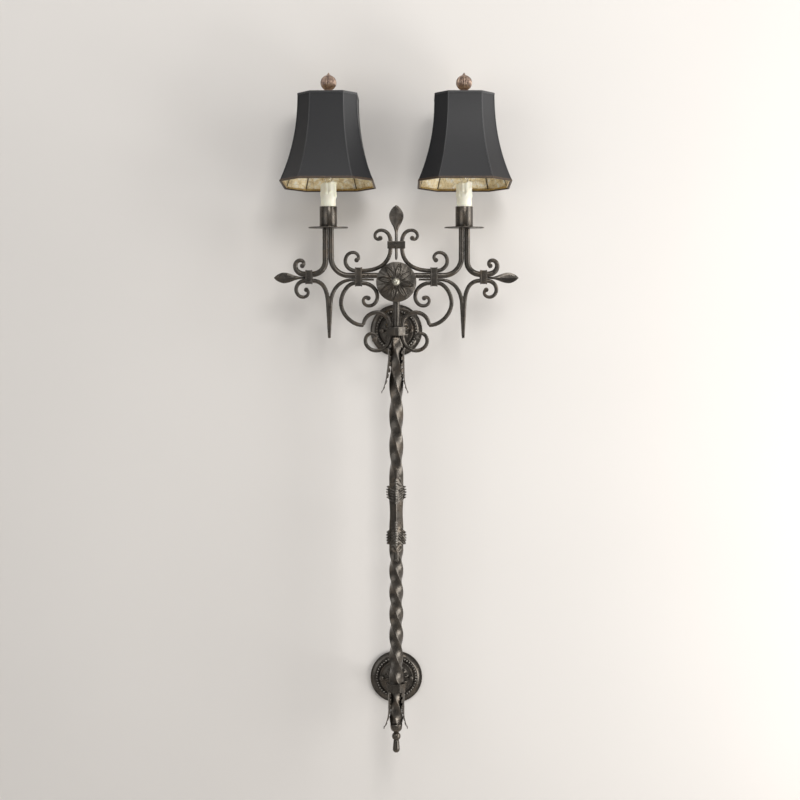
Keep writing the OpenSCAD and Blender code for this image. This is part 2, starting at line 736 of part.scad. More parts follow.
// the spike under the candle: a branch from each collar, laid side by side and forged to a point
module spike() {
    off = 1.6;
    tip_off = 0.7;
    seam = 0.03;
    eye = bend([end_x + end_w / 2 + 0.5, spike_bar_z], 0, -346, 17.3, 3.7, 26, 2);
    from_end = joined(
        reversed(eye),
        joined([[end_x + end_w / 2 + 0.5, spike_bar_z], [end_x - end_w / 2 - 0.5, spike_bar_z]],
            joined(run([end_x - end_w / 2 - 0.5, spike_bar_z], 180,
                [spike_x + off, spike_root_z], 267, 12, 0.42),
            [[spike_x + off, spike_root_z], [spike_x + tip_off, spike_tip_z + 1]])));
    from_arm = joined(
        [[collar_x - collar_w / 2 - 22, stub_z], [collar_x + collar_w / 2 + 1, stub_z]],
        joined(run([collar_x + collar_w / 2 + 1, stub_z], 0,
            [spike_x - off, spike_root_z], 273, 14, 0.45),
        [[spike_x - off, spike_root_z], [spike_x - tip_off, spike_tip_z + 1]]));
    union() {
        bar(from_end, [[0, 3.2], [0.03, 2.9], [0.12, 3.3], [0.3, spike_r], [0.55, spike_r],
            [0.7, spike_r * 1.08], [0.76, spike_r * 1.1], [0.99, 2.1], [1, 2]],
            [spike_x + seam, 1000]);
        snub(last(eye));
    }
    bar(from_arm, [[0, 1.8], [0.02, stub_r], [0.22, stub_r], [0.4, spike_r * 0.9],
        [0.6, spike_r], [0.66, spike_r * 1.1], [0.99, 2.1], [1, 2]], [-1000, spike_x - seam]);
}

// the crown scroll: an eye above the arm collar, a sweep up beside the spear, and a second eye
module crown_scroll() {
    foot = [collar_x - collar_w / 2 - 1, crown_bar_z];
    neck = [crown_x, crown_z - 7.5];
    sweep = run(foot, 180, neck, 92, 14, 0.43);
    top = bend([crown_x, crown_z + 7.5], 90, -337, 23.8, 3.4, 26);
    eye = bend([collar_x + collar_w / 2 - 0.5, crown_bar_z], 0, 345, 19.1, 3.6, 26, 2.1);
    union() {
        bar(joined(reversed(eye), joined([last(reversed(eye)), foot], joined(sweep,
                joined([neck, [crown_x, crown_z + 7.5]], top)))),
            [[0, 3.4], [0.05, 2.9], [0.2, bar_r * 0.93], [0.3, bar_r], [0.75, bar_r],
             [0.87, 3.2], [0.97, 2.7], [1, 3.1]]);
        snub(last(eye));
        snub(last(top));
    }
}

// the lower scroll: an eye beside the rosette, and a wide sweep down to the brace's corner
module lower_scroll() {
    inner = [collar_x - collar_w / 2, lower_bar_z];
    outer = [collar_x + collar_w / 2 - 0.5, lower_bar_z];
    eye = bend(inner, 180, 415, 33.8, 3.7, 34);
    belly = bend(outer, 0, -78, 13, 62, 12);
    sweep = run(last(belly), -78, [corner_x + 1, corner_z], 180, 12, 0.37);
    union() {
        bar(joined(reversed(eye), joined([inner, outer], joined(belly, sweep))),
            [[0, 3.4], [0.04, 2.9], [0.2, bar_r * 0.93], [0.35, bar_r], [0.95, bar_r],
             [1, weld_r]]);
        snub(last(eye));
    }
}

// the brace: from that corner over and down through the upper strap, and round into an eye
module brace_scroll() {
    arch_r = (corner_x - brace_x) / (1 + cos(10));
    arch_z = corner_z + weld_r + seat;
    low = [brace_x, -strap_h / 2 - 0.5];
    arch = bend([corner_x, arch_z], 100, 170, arch_r, arch_r, 18);
    eye = bend(low, 270, 438, 29.8, 3.7, 34, 1.36);
    union() {
        bar(joined(joined(arch, [last(arch), low]), eye),
            [[0, weld_r], [0.05, bar_r], [0.55, bar_r], [0.85, 3.4], [0.97, 2.8], [1, 3.3]]);
        snub(last(eye));
    }
}

module right_outer_scroll() color(iron) outer_scroll();
module left_outer_scroll() color(iron) left_side() outer_scroll();
module right_spike() color(iron) spike();
module left_spike() color(iron) left_side() spike();
module right_crown_scroll() color(iron) crown_scroll();
module left_crown_scroll() color(iron) left_side() crown_scroll();
module right_lower_scroll() color(iron) lower_scroll();
module left_lower_scroll() color(iron) left_side() lower_scroll();
module right_brace_scroll() color(iron) brace_scroll();
module left_brace_scroll() color(iron) left_side() brace_scroll();

// a flat forged leaf with a ridge: stations of [place along, half width, half thickness]
module forged_leaf(stations) {
    skin([for (s = stations) [
        [s[1], 0, s[0]], [s[1] * 0.5, s[2] * 0.7, s[0]], [0, s[2], s[0]],
        [-s[1] * 0.5, s[2] * 0.7, s[0]], [-s[1], 0, s[0]], [-s[1] * 0.5, -s[2] * 0.7, s[0]],
        [0, -s[2], s[0]], [s[1] * 0.5, -s[2] * 0.7, s[0]]]]);
}

// half width of a leaf blade from its neck (0) to its tip (1)
function blade(t, neck, wide) =
    t < 0.6 ? neck + (wide - neck) * (1 - cos(180 * t / 0.6)) / 2
            : wide * pow(cos(90 * (t - 0.6) / 0.4), 0.75) + 0.2;

module end_leaf() {
    neck_x = end_x + end_w / 2 + 9;
    translate([0, -stand_off, leaf_z]) rotate([0, 90, 0])
        forged_leaf(concat(
            [[end_x - end_w / 2 - 1, leaf_stem, 3.4], [end_x + end_w / 2 + 1, leaf_stem, 3.4]],
            [for (i = [0:14]) let (t = i / 14)
                [neck_x + leaf_len * t, blade(t, 2.3, leaf_w / 2), 2.6 - 1.8 * t]]));
}
module end_leaves() color(iron) {
    end_leaf();
    left_side() end_leaf();
}

module crown_spear() color(iron) {
    neck_z = crown_z + 22;
    tenon = crown_x - bar_r - seat;
    tail_z = rosette_z + rosette_r + 4;
    translate([0, -stand_off, 0])
        forged_leaf(concat(
            [[tail_z, 1.6, 1.6], [tail_z + 3, 2.4, 2.4], [crown_z - 6.6, 2.6, 2.6],
             [crown_z - 6, tenon, 3], [crown_z + 6, tenon, 3], [crown_z + 6.6, 2.6, 2.6]],
            [for (i = [0:14]) let (t = i / 14)
                [neck_z + (spear_tip_z - neck_z) * t, blade(t, 2.6, spear_w / 2), 3 - 2.2 * t]]));
}

// ---------- collars ----------

// a band round a bundle, from one corner to the other, open along one axis
module collar(low, high, depth) {
    size = high - low;
    translate([low[0], -stand_off - depth - band, low[1] - band])
        difference() {
            cube([size[0], 2 * depth + 2 * band, size[1] + 2 * band]);
            translate([-1, band, band]) cube([size[0] + 2, 2 * depth, size[1]]);
        }
}

module arm_collars() color(iron)
    for (s = [0, 1]) mirror([s, 0, 0])
        collar([collar_x - collar_w / 2, lower_bar_z - bar_r - seat],
            [collar_x + collar_w / 2, crown_bar_z + bar_r + seat], arm_r + seat);

module end_collars() color(iron)
    for (s = [0, 1]) mirror([s, 0, 0])
        collar([end_x - end_w / 2, spike_bar_z - spike_r - seat],
            [end_x + end_w / 2, outer_bar_z + outer_r + seat], outer_r + seat);

module crown_collar() color(iron) {
    half = crown_x + bar_r + seat;
    depth = bar_r + seat;
    translate([-half - band, -stand_off - depth - band, crown_z - 6.9])
        difference() {
            cube([2 * half + 2 * band, 2 * depth + 2 * band, 13.8]);
            translate([band, band, -1]) cube([2 * half, 2 * depth, 16]);
        }
}

// ---------- leads ----------

// the wires' sheathed run: from the wall through the stem and riser, and through each arm
module lamp_leads() color(rubber) {
    fork = [0, -stand_off, rosette_z - 12];
    bend_in = [0, -stand_off, 0];
    rod([0, -2, 0], bend_in, lead_r);
    translate(bend_in) sphere(r = lead_r + 0.3);
    rod(bend_in, fork, lead_r);
    translate(fork) sphere(r = lead_r + 0.3);
    for (s = [-1, 1]) {
        into_arm = [s * (hub_r * 0.62), -stand_off, arm_z];
        rod(fork, into_arm, lead_r);
        translate(into_arm) sphere(r = lead_r + 0.3);
        mirror([s < 0 ? 1 : 0, 0, 0]) {
            rod([hub_r * 0.62, -stand_off, arm_z], [arm_x - arm_bend, -stand_off, arm_z], lead_r);
            translate([arm_x - arm_bend, -stand_off, arm_z + arm_bend]) rotate([90, 0, 0])
                rotate_extrude(angle = 90, start = 270, $fn = 96)
                    translate([arm_bend, 0]) circle(r = lead_r);
            translate([arm_x, -stand_off, arm_z + arm_bend])
                cylinder(h = socket_foot_z - seat - arm_z - arm_bend, r = lead_r);
        }
    }
}

// ---------- candles ----------

module at_candle(s) {
    mirror([s < 0 ? 1 : 0, 0, 0]) translate([candle_x, -stand_off, 0]) children();
}

module drip_pan(s) {
    at_candle(s)
        difference() {
            translate([0, 0, pan_z])
                rotate_extrude($fn = 96)
                    polygon([[0, 0], [pan_r - 0.8, 0], [pan_r, 0.8], [pan_r, pan_t],
                        [pan_r - 1, pan_t - 0.6], [cup_r, pan_t - 0.6], [cup_r, pan_t], [0, pan_t]]);
            translate([arm_x - candle_x, 0, pan_z - 1]) cylinder(h = pan_t + 2, r = arm_r + seat);
        }
}
module right_drip_pan() color(iron) drip_pan(1);
module left_drip_pan() color(iron) drip_pan(-1);

module candle_cup(s) {
    at_candle(s)
        difference() {
            translate([0, 0, pan_z + pan_t]) cylinder(h = cup_h, r = cup_r, $fn = 96);
            translate([0, 0, floor_z]) cylinder(h = cup_h, r = cup_r - cup_wall, $fn = 96);
            translate([arm_x - candle_x, 0, pan_z]) cylinder(h = 10, r = arm_r + seat);
        }
}
module right_candle_cup() color(iron) candle_cup(1);
module left_candle_cup() color(iron) candle_cup(-1);

module candle_sleeve(s) {
    at_candle(s) translate([0, 0, floor_z])
        difference() {
            cylinder(h = sleeve_h, r = sleeve_r, $fn = 96);
            translate([0, 0, -1]) cylinder(h = sleeve_h + 2, r = sleeve_r - sleeve_wall, $fn = 96);
        }
}
module right_candle_sleeve() color(ivory) candle_sleeve(1);
module left_candle_sleeve() color(ivory) candle_sleeve(-1);

// a screw socket on an upright strap that stands on the cup's floor
module lamp_sockets() color(brass)
    for (s = [-1, 1])
        at_candle(s) {
            translate([socket_r - 3.2, -4, floor_z])
                cube([1.6, 8, socket_foot_z - floor_z + 1]);
            translate([1.5, -4, floor_z]) cube([socket_r - 3, 8, 1.4]);
            difference() {
                translate([0, 0, socket_foot_z])
                    cylinder(h = sleeve_top_z - 2.5 - socket_foot_z, r = socket_r);
                translate([0, 0, base_z - 0.5]) cylinder(h = 40, r = base_r + running);
            }
        }

// half profile of the bulb's glass, drawn in by inset: a neck that swells to the widest place,
// and a long tip
function glass_profile(inset) =
    let (neck = base_r - inset, wide = glass_r - inset, tip = glass_tip - inset)
    concat(
        [for (i = [0:10]) let (t = i / 10)
            [neck + (wide - neck) * (1 - cos(180 * t)) / 2, neck_z + (pivot_z - neck_z) * t]],
        [for (i = [1:12]) let (a = 90 * i / 12)
            [i == 12 ? 0 : wide * cos(a), pivot_z + tip * sin(a)]]);

// blown glass on a screw base, with the vent in the base's foot
module bulb(s) {
    inside_z = base_z + 4;
    at_candle(s)
        difference() {
            rotate_extrude($fn = 64)
                polygon(concat([[0, base_z], [base_r - 1.5, base_z], [base_r, base_z + 2]],
                    glass_profile(0)));
            rotate_extrude($fn = 64)
                polygon(concat([[0, inside_z], [base_r - glass_wall, inside_z]],
                    glass_profile(glass_wall)));
            translate([0, 0, base_z - 1]) cylinder(h = 6, r = vent_r);
        }
}
module right_bulb() color(glass) bulb(1);
module left_bulb() color(glass) bulb(-1);

// ---------- shades, on the clip's own axis ----------

module at_pivot(s) {
    translate([s * candle_x, -stand_off, pivot_z]) rotate([-lean, 0, 0]) children();
}

// a wire ring on each side of the glass, two legs, and a plate with the threaded stud
module bulb_clip(s) {
    leg_top = [7, 0, washer_z - 1.2];
    at_pivot(s) {
        for (m = [0, 1]) mirror([m, 0, 0]) {
            translate([clip_ring_x, 0, 0]) rotate([0, 90, 0])
                rotate_extrude($fn = 48) translate([clip_ring_r, 0]) circle(r = clip_wire);
            rod([clip_ring_x, 0, clip_ring_r - 0.3], leg_top, clip_leg);
        }
        translate([0, 0, washer_z - seat - 1.6]) cylinder(h = 1.6, r = 9);
        translate([0, 0, washer_z - 1]) cylinder(h = stud_top_z - washer_z + 1, r = stud_r);
    }
}
module right_bulb_clip() color(brass) bulb_clip(1);
module left_bulb_clip() color(brass) bulb_clip(-1);

function shade_flare(t) = pow(1 - t, 2.2);
// half width across the flats, and half width of a flat panel, at a share of the height
function shade_w(t) = top_w + (foot_w - top_w) * shade_flare(t);
function shade_panel(t) = top_panel + (foot_panel - top_panel) * shade_flare(t);
// the cut-corner square at that height, drawn in by inset
function shade_plan(t, inset) =
    let (w = shade_w(t) - inset, p = shade_panel(t) - inset * tan(22.5))
    [[w, -p], [w, p], [p, w], [-p, w], [-w, p], [-w, -p], [-p, -w], [p, -w]];
function shade_ring(t, inset) =
    [for (q = shade_plan(t, inset)) [q[0], q[1], shade_h * t - shade_drop]];

module shade_shell(outer, inner) {
    steps = 12;
    lathe_skin(8,
        [for (i = [steps:-1:0]) shade_ring(i / steps, outer)],
        [for (i = [0:steps]) shade_ring(i / steps, inner)]);
}

module on_shade(s) {
    at_pivot(s) rotate([0, 0, s < 0 ? left_turn : 0]) children();
}
module shade_cover(s) on_shade(s) shade_shell(0, cover_t);
module shade_lining(s) on_shade(s) shade_shell(cover_t + laminate, cover_t + laminate + lining_t);
module right_shade_cover() color(black_satin) shade_cover(1);
module left_shade_cover() color(black_satin) shade_cover(-1);
module right_shade_lining() color(gold_leaf) shade_lining(1);
module left_shade_lining() color(gold_leaf) shade_lining(-1);

// a hoop that follows the lining, its top face at the given share of the height
module shade_hoop(t) {
    inset = cover_t + lining_t + 2 * laminate + 0.15;
    translate([0, 0, shade_h * t - hoop - shade_drop])
        linear_extrude(height = hoop)
            difference() {
                polygon(shade_plan(t, inset));
                polygon(shade_plan(t, inset + hoop));
            }
}

module shade_frame(s) {
    top_t = 1 - 1 / shade_h;
    foot_t = (hoop + 1) / shade_h;
    rim_x = shade_w(top_t) - cover_t - lining_t - hoop;
    on_shade(s) {
        shade_hoop(top_t);
        shade_hoop(foot_t);
        difference() {
            union() {
                translate([0, 0, washer_z]) cylinder(h = washer_t, r = washer_r);
                for (a = [0:90:270]) rotate([0, 0, a])
                    rod([washer_r - 2, 0, washer_z + washer_t / 2],
                        [rim_x, 0, shade_top - 1 - hoop / 2], 1.1);
            }
            translate([0, 0, washer_z - 5]) cylinder(h = 20, r = stud_r + running);
        }
    }
}
module right_shade_frame() color(brass) shade_frame(1);
module left_shade_frame() color(brass) shade_frame(-1);

// a foot, a waist, the ball and its point, bored for the stud
module finial(s) {
    at_pivot(s)
        difference() {
            union() {
                translate([0, 0, finial_seat_z])
                    rotate_extrude()
                        polygon([[0, 0], [7.5, 0], [7.5, 2], [5, 4], [4.6, 9], [6, 14],
                            [8, 19], [0, 20]]);
                translate([0, 0, finial_z]) sphere(r = finial_r, $fn = 64);
                translate([0, 0, finial_z + finial_r - 1])
                    rotate_extrude() polygon([[0, 0], [2.6, 0], [1.4, 3], [0.5, 5], [0, 5]]);
            }
            translate([0, 0, finial_seat_z - 1])
                cylinder(h = stud_top_z - finial_seat_z + 2, r = stud_r + running);
        }
}
module right_finial() color(copper) finial(1);
module left_finial() color(copper) finial(-1);

upper_mount_disc();
lower_mount_disc();
upper_wall_plate();
lower_wall_plate();
plate_ball_nuts();
upper_stem();
lower_stem();
stem_nuts();
shaft();
upper_cast_leaves();
lower_cast_leaves();
upper_side_leaves();
lower_side_leaves();
upper_strap();
lower_strap();
foot_cap();
drop_finial();
riser();
hub();
rosette();
rosette_button();
left_arm();
right_arm();
left_outer_scroll();
right_outer_scroll();
left_spike();
right_spike();
left_crown_scroll();
right_crown_scroll();
left_lower_scroll();
right_lower_scroll();
left_brace_scroll();
right_brace_scroll();
end_leaves();
crown_spear();
crown_collar();
arm_collars();
end_collars();
lamp_leads();
left_drip_pan();
right_drip_pan();
left_candle_cup();
right_candle_cup();
left_candle_sleeve();
right_candle_sleeve();
lamp_sockets();
left_bulb();
right_bulb();
left_bulb_clip();
right_bulb_clip();
left_shade_cover();
right_shade_cover();
left_shade_lining();
right_shade_lining();
left_shade_frame();
right_shade_frame();
left_finial();
right_finial();
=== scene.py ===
import json
import math
import random

import bpy
from mathutils import Matrix, Vector, noise
from mathutils.kdtree import KDTree


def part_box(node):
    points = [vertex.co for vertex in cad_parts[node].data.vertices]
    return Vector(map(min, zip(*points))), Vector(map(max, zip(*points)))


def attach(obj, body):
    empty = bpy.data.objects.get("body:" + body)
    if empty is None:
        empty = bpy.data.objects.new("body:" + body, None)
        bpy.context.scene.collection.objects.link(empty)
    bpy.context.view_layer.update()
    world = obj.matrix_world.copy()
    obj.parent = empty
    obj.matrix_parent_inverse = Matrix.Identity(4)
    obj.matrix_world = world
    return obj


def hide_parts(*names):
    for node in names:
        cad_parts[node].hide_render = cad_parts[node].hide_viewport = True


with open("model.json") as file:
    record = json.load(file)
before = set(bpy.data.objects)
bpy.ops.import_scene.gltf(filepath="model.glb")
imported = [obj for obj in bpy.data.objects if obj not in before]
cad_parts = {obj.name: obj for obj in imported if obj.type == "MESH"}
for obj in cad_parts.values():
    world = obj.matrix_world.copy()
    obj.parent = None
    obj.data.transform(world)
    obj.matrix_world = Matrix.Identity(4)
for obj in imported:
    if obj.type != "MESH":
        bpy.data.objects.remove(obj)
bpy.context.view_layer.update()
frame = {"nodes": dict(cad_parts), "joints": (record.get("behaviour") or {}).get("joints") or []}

bl_info = {
    "name": "Torch Sconce",
    "version": (1, 0, 0),
    "blender": (4, 5, 0),
    "location": "3D View > Sidebar > Torch Sconce",
    "description": "Dresses the forged torch sconce on its CAD frame",
    "category": "Object",
}

TURN = 2 * math.pi
SIDES = ("left", "right")
ROOT = "sconce"
# Points closer together than this are merged.
MERGE = 2e-6


def middle(node):
    low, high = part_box(node)
    return (low + high) / 2


TORCH_Y = middle("riser").y
# Just clear of the shaft's corners, measured from its axis.
CORNER_R = 0.0134


# ---------- what a user would change ----------

class SconceSizes(bpy.types.PropertyGroup):
    hammer_depth: bpy.props.FloatProperty(
        name="Hammer Depth", description="Depth of the hammer marks on the forged bars",
        default=0.0003, min=0, max=0.002, unit="LENGTH")
    hammer_mark: bpy.props.FloatProperty(
        name="Hammer Mark", description="Width of one hammer mark",
        default=0.0075, min=0.002, max=0.03, unit="LENGTH")
    plate_beads: bpy.props.IntProperty(
        name="Plate Beads", description="Number of beads in a wall plate's ring",
        default=44, min=12, max=60)
    finial_ribs: bpy.props.IntProperty(
        name="Finial Ribs", description="Number of ribs on a shade's finial",
        default=26, min=6, max=36)
    tape_width: bpy.props.FloatProperty(
        name="Tape Width", description="Width of the tape on the shades' rims and seams",
        default=0.0032, min=0.001, max=0.01, unit="LENGTH")
    wax_thickness: bpy.props.FloatProperty(
        name="Wax Thickness", description="How far the runs of wax stand off the candles",
        default=0.0024, min=0, max=0.003, unit="LENGTH")


class SconceColours(bpy.types.PropertyGroup):
    iron: bpy.props.FloatVectorProperty(
        name="Iron", description="Dark bronze finish of the ironwork",
        default=(0.095, 0.085, 0.073), subtype="COLOR", min=0, max=1)
    # Lighter iron: wear from rubbing in the iron's random patches, and on the beads also a
    # painted highlight.
    rubbed_and_highlight: bpy.props.FloatVectorProperty(
        name="Rubbed Iron", description="Iron where the finish is rubbed",
        default=(0.22, 0.205, 0.185), subtype="COLOR", min=0, max=1)
    wall: bpy.props.FloatVectorProperty(
        name="Wall", description="Warm white of the wall",
        default=(0.76, 0.73, 0.695), subtype="COLOR", min=0, max=1)
    satin: bpy.props.FloatVectorProperty(
        name="Shade Satin", description="Charcoal cloth of the shades",
        default=(0.012, 0.012, 0.013), subtype="COLOR", min=0, max=1)
    gold: bpy.props.FloatVectorProperty(
        name="Gold Leaf", description="Leaf on the inside of the shades",
        default=(0.92, 0.79, 0.50), subtype="COLOR", min=0, max=1)
    wax: bpy.props.FloatVectorProperty(
        name="Wax", description="Ivory of the candle sleeves",
        default=(0.93, 0.90, 0.73), subtype="COLOR", min=0, max=1)
    copper: bpy.props.FloatVectorProperty(
        name="Finial Copper", description="Antiqued copper of the shades' finials",
        default=(0.34, 0.245, 0.195), subtype="COLOR", min=0, max=1)
    pewter: bpy.props.FloatVectorProperty(
        name="Pewter", description="Pale button of the rosette",
        default=(0.52, 0.50, 0.42), subtype="COLOR", min=0, max=1)


def sizes():
    return bpy.context.scene.sconce_sizes


def colours():
    return bpy.context.scene.sconce_colours


# ---------- hand tools ----------

def deselect():
    if bpy.context.object and bpy.context.object.mode != "OBJECT":
        bpy.ops.object.mode_set(mode="OBJECT")
    bpy.ops.object.select_all(action="DESELECT")


def take(piece):
    deselect()
    piece.select_set(True)
    bpy.context.view_layer.objects.active = piece


def named(piece, name):
    piece.name = name
    piece.data.name = name
    return piece


def in_edit(piece, *steps):
    """Selects the whole mesh in edit mode and takes each step on it."""
    take(piece)
    bpy.ops.object.mode_set(mode="EDIT")
    for step in steps:
        bpy.ops.mesh.select_all(action="SELECT")
        step()
    bpy.ops.object.mode_set(mode="OBJECT")


def merge():
    bpy.ops.mesh.remove_doubles(threshold=MERGE)


def turn_faces_out():
    bpy.ops.mesh.normals_make_consistent(inside=False)


def modify(piece, kind, **values):
    """Adds a modifier with these values and applies it."""
    take(piece)
    modifier = piece.modifiers.new(kind.title(), kind)
    for key, value in values.items():
        setattr(modifier, key, value)
    bpy.ops.object.modifier_apply(modifier=modifier.name)


def smooth(piece, angle):
    take(piece)
    bpy.ops.object.shade_smooth_by_angle(angle=math.radians(angle))


def copy_of(node, name):
    """A loose copy of a CAD node, merged and in quads, for dressing."""
    piece = bpy.data.objects.new(name, frame["nodes"][node].data.copy())
    bpy.context.scene.collection.objects.link(piece)
    named(piece, name)
    piece.data.materials.clear()
    in_edit(piece, merge, lambda: bpy.ops.mesh.tris_convert_to_quads(
        face_threshold=math.radians(50), shape_threshold=math.radians(60)))
    return piece


def eased_copy(node, name, smooth_angle, edge=0.0, edge_angle=50):
    """A copy of a CAD node with its round faces smooth and, if asked, its edges bevelled."""
    piece = copy_of(node, name)
    if edge:
        modify(piece, "BEVEL", width=edge, segments=2, limit_method="ANGLE",
               angle_limit=math.radians(edge_angle))
    smooth(piece, smooth_angle)
    return piece


def joined(pieces, name):
    deselect()
    for piece in pieces:
        piece.select_set(True)
    bpy.context.view_layer.objects.active = pieces[0]
    if len(pieces) > 1:
        bpy.ops.object.join()
    return named(bpy.context.view_layer.objects.active, name)


def sheet_of(name, across, along, place, thickness=0.0, inward=True):
    """A grid whose points place(u, v) sets, merged where they meet, with a wall if asked."""
    deselect()
    bpy.ops.mesh.primitive_grid_add(x_subdivisions=across, y_subdivisions=along, size=2)
    piece = named(bpy.context.active_object, name)
    for vertex in piece.data.vertices:
        vertex.co = place((vertex.co.x + 1) / 2, (vertex.co.y + 1) / 2)
    in_edit(piece, merge, turn_faces_out)
    if thickness:
        modify(piece, "SOLIDIFY", thickness=thickness, offset=-1 if inward else 1,
               use_even_offset=False)
    return piece


def turned(name, profile, steps, centre=(0, 0, 0), forward=False):
    """Spins a profile of (radius, height) round Z, or round -Y when it faces forward."""
    deselect()
    mesh = bpy.data.meshes.new(name)
    mesh.from_pydata([(r, 0, h) for r, h in profile],
                     [(i, i + 1) for i in range(len(profile) - 1)], [])
    piece = bpy.data.objects.new(name, mesh)
    bpy.context.scene.collection.objects.link(piece)
    in_edit(piece,
            lambda: bpy.ops.mesh.spin(steps=steps, angle=TURN, center=(0, 0, 0), axis=(0, 0, 1)),
            merge, turn_faces_out)
    turn = Matrix.Rotation(math.pi / 2, 4, "X") if forward else Matrix.Identity(4)
    piece.data.transform(Matrix.Translation(centre) @ turn)
    return piece


def beads(name, places, radius, rings=6):
    """One small ball, copied to each place."""
    deselect()
    bpy.ops.mesh.primitive_uv_sphere_add(segments=10, ring_count=rings, radius=radius)
    first = bpy.context.active_object
    copies = []
    for place in places:
        bead = bpy.data.objects.new(name, first.data.copy())
        bpy.context.scene.collection.objects.link(bead)
        bead.data.transform(Matrix.Translation(place))
        copies.append(bead)
    bpy.data.objects.remove(first)
    return joined(copies, name)


def subdivided(piece):
    """Splits the faces three times over without moving them."""
    modify(piece, "SUBSURF", subdivision_type="SIMPLE", levels=3, render_levels=3)


def hammered(piece, depth, mark=1.0):
    """Pushes hammer marks into a dense mesh: shares of the user's depth and width."""
    texture = bpy.data.textures.new("Hammer", "VORONOI")
    texture.noise_scale = sizes().hammer_mark * mark
    texture.noise_intensity = 1.0
    modify(piece, "DISPLACE", texture=texture, texture_coords="LOCAL", mid_level=0.55,
           strength=sizes().hammer_depth * depth)
    bpy.data.textures.remove(texture)


def forged(piece, voxel, depth=1.0):
    """Gives a copied solid an even dense skin, wears its edges and hammers it."""
    modify(piece, "REMESH", mode="VOXEL", voxel_size=voxel)
    modify(piece, "SMOOTH", factor=0.5, iterations=2)
    hammered(piece, depth)
    smooth(piece, 60)


def finish_piece(piece, make, body, slot, *nodes):
    """Gives a piece its material and its body, and hides the CAD nodes it stands for; the slot is
    not used.
    """
    piece.data.materials.clear()
    piece.data.materials.append(finish(make))
    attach(piece, body)
    if nodes:
        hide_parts(*nodes)


def ironwork(piece, *nodes):
    finish_piece(piece, forged_iron, ROOT, "forged_iron", *nodes)


def rubbed_and_highlight_trim(piece):
    """Finishes beads that stand proud in lighter iron: worn bright by rubbing, and also a painted
    highlight that makes each bead read as a bright dot.
    """
    smooth(piece, 60)
    finish_piece(piece, rubbed_and_highlight_iron, ROOT, "forged_iron")


# ---------- finishes ----------

def toned(colour, *shares):
    """A colour times one share, or a share for each channel, up to white."""
    if len(shares) == 1:
        shares *= 3
    return tuple(min(1, c * share) for c, share in zip(colour, shares))


class Finish:
    """A node material that reads Object coordinates."""

    def __init__(self, name):
        self.material = bpy.data.materials.new(name)
        self.material.use_nodes = True
        self.tree = self.material.node_tree
        self.shader = self.tree.nodes["Principled BSDF"]
        self.place = self.node("ShaderNodeTexCoord").outputs["Object"]

    def node(self, kind, **values):
        made = self.tree.nodes.new(kind)
        for key, value in values.items():
            setattr(made, key, value)
        return made

    def link(self, start, end):
        self.tree.links.new(start, end)

    def set(self, **values):
        for key, value in values.items():
            self.shader.inputs[key.replace("_", " ")].default_value = value

    def noise(self, scale, detail=3.0, rough=0.55, stretch=None):
        made = self.node("ShaderNodeTexNoise")
        made.inputs["Scale"].default_value = scale
        made.inputs["Detail"].default_value = detail
        made.inputs["Roughness"].default_value = rough
        place = self.place
        if stretch:
            mapping = self.node("ShaderNodeMapping")
            mapping.inputs["Scale"].default_value = stretch
            self.link(place, mapping.inputs["Vector"])
            place = mapping.outputs["Vector"]
        self.link(place, made.inputs["Vector"])
        return made.outputs["Fac"]

    def cells(self, scale, feature):
        made = self.node("ShaderNodeTexVoronoi", feature=feature)
        made.inputs["Scale"].default_value = scale
        self.link(self.place, made.inputs["Vector"])
        return made.outputs["Distance"]

    def ramp(self, value, *stops):
        """Colours a value by stops of (value, colour)."""
        made = self.node("ShaderNodeValToRGB")
        elements = made.color_ramp.elements
        for element, (position, colour) in ((elements[0], stops[0]), (elements[1], stops[-1])):
            element.position = position
            element.color = (*colour, 1)
        for position, colour in stops[1:-1]:
            elements.new(position).color = (*colour, 1)
        self.link(value, made.inputs["Fac"])
        return made.outputs["Color"]

    def span(self, value, low, high, start=0.3, end=0.7):
        """Spreads start to end, where most of a noise lies, over low to high."""
        made = self.node("ShaderNodeMapRange")
        for key, number in (("From Min", start), ("From Max", end), ("To Min", low),
                            ("To Max", high)):
            made.inputs[key].default_value = number
        self.link(value, made.inputs["Value"])
        return made.outputs["Result"]

    def mix(self, first, second, amount, blend="MIX"):
        made = self.node("ShaderNodeMix", data_type="RGBA", blend_type=blend)
        for socket, value in ((0, amount), (6, first), (7, second)):
            if isinstance(value, bpy.types.NodeSocket):
                self.link(value, made.inputs[socket])
            else:
                made.inputs[socket].default_value = (
                    value if socket == 0 else (*value, 1))
        return made.outputs[2]

    def maths(self, operation, first, second):
        made = self.node("ShaderNodeMath", operation=operation)
        self.link(first, made.inputs[0])
        if isinstance(second, bpy.types.NodeSocket):
            self.link(second, made.inputs[1])
        else:
            made.inputs[1].default_value = second
        return made.outputs[0]

    def bump(self, value, strength, distance, under=None):
        made = self.node("ShaderNodeBump")
        made.inputs["Strength"].default_value = strength
        made.inputs["Distance"].default_value = distance
        self.link(value, made.inputs["Height"])
        if under:
            self.link(under, made.inputs["Normal"])
        return made.outputs["Normal"]

    def colour(self, socket):
        self.link(socket, self.shader.inputs["Base Color"])

    def roughness(self, socket):
        self.link(socket, self.shader.inputs["Roughness"])

    def normal(self, socket):
        self.link(socket, self.shader.inputs["Normal"])

    def polish(self, scale, detail, low, high):
        """Lets the roughness drift between two values in patches."""
        self.roughness(self.span(self.noise(scale, detail), low, high))

    def grain(self, scale, detail=2, strength=0.2, depth=0.0001, rough=0.55):
        """Gives the surface an even fine grain."""
        self.normal(self.bump(self.noise(scale, detail, rough), strength, depth))


MADE = {}


def finish(make):
    """Makes a material once and gives it back after that."""
    if make.__name__ not in MADE:
        MADE[make.__name__] = make()
    return MADE[make.__name__]


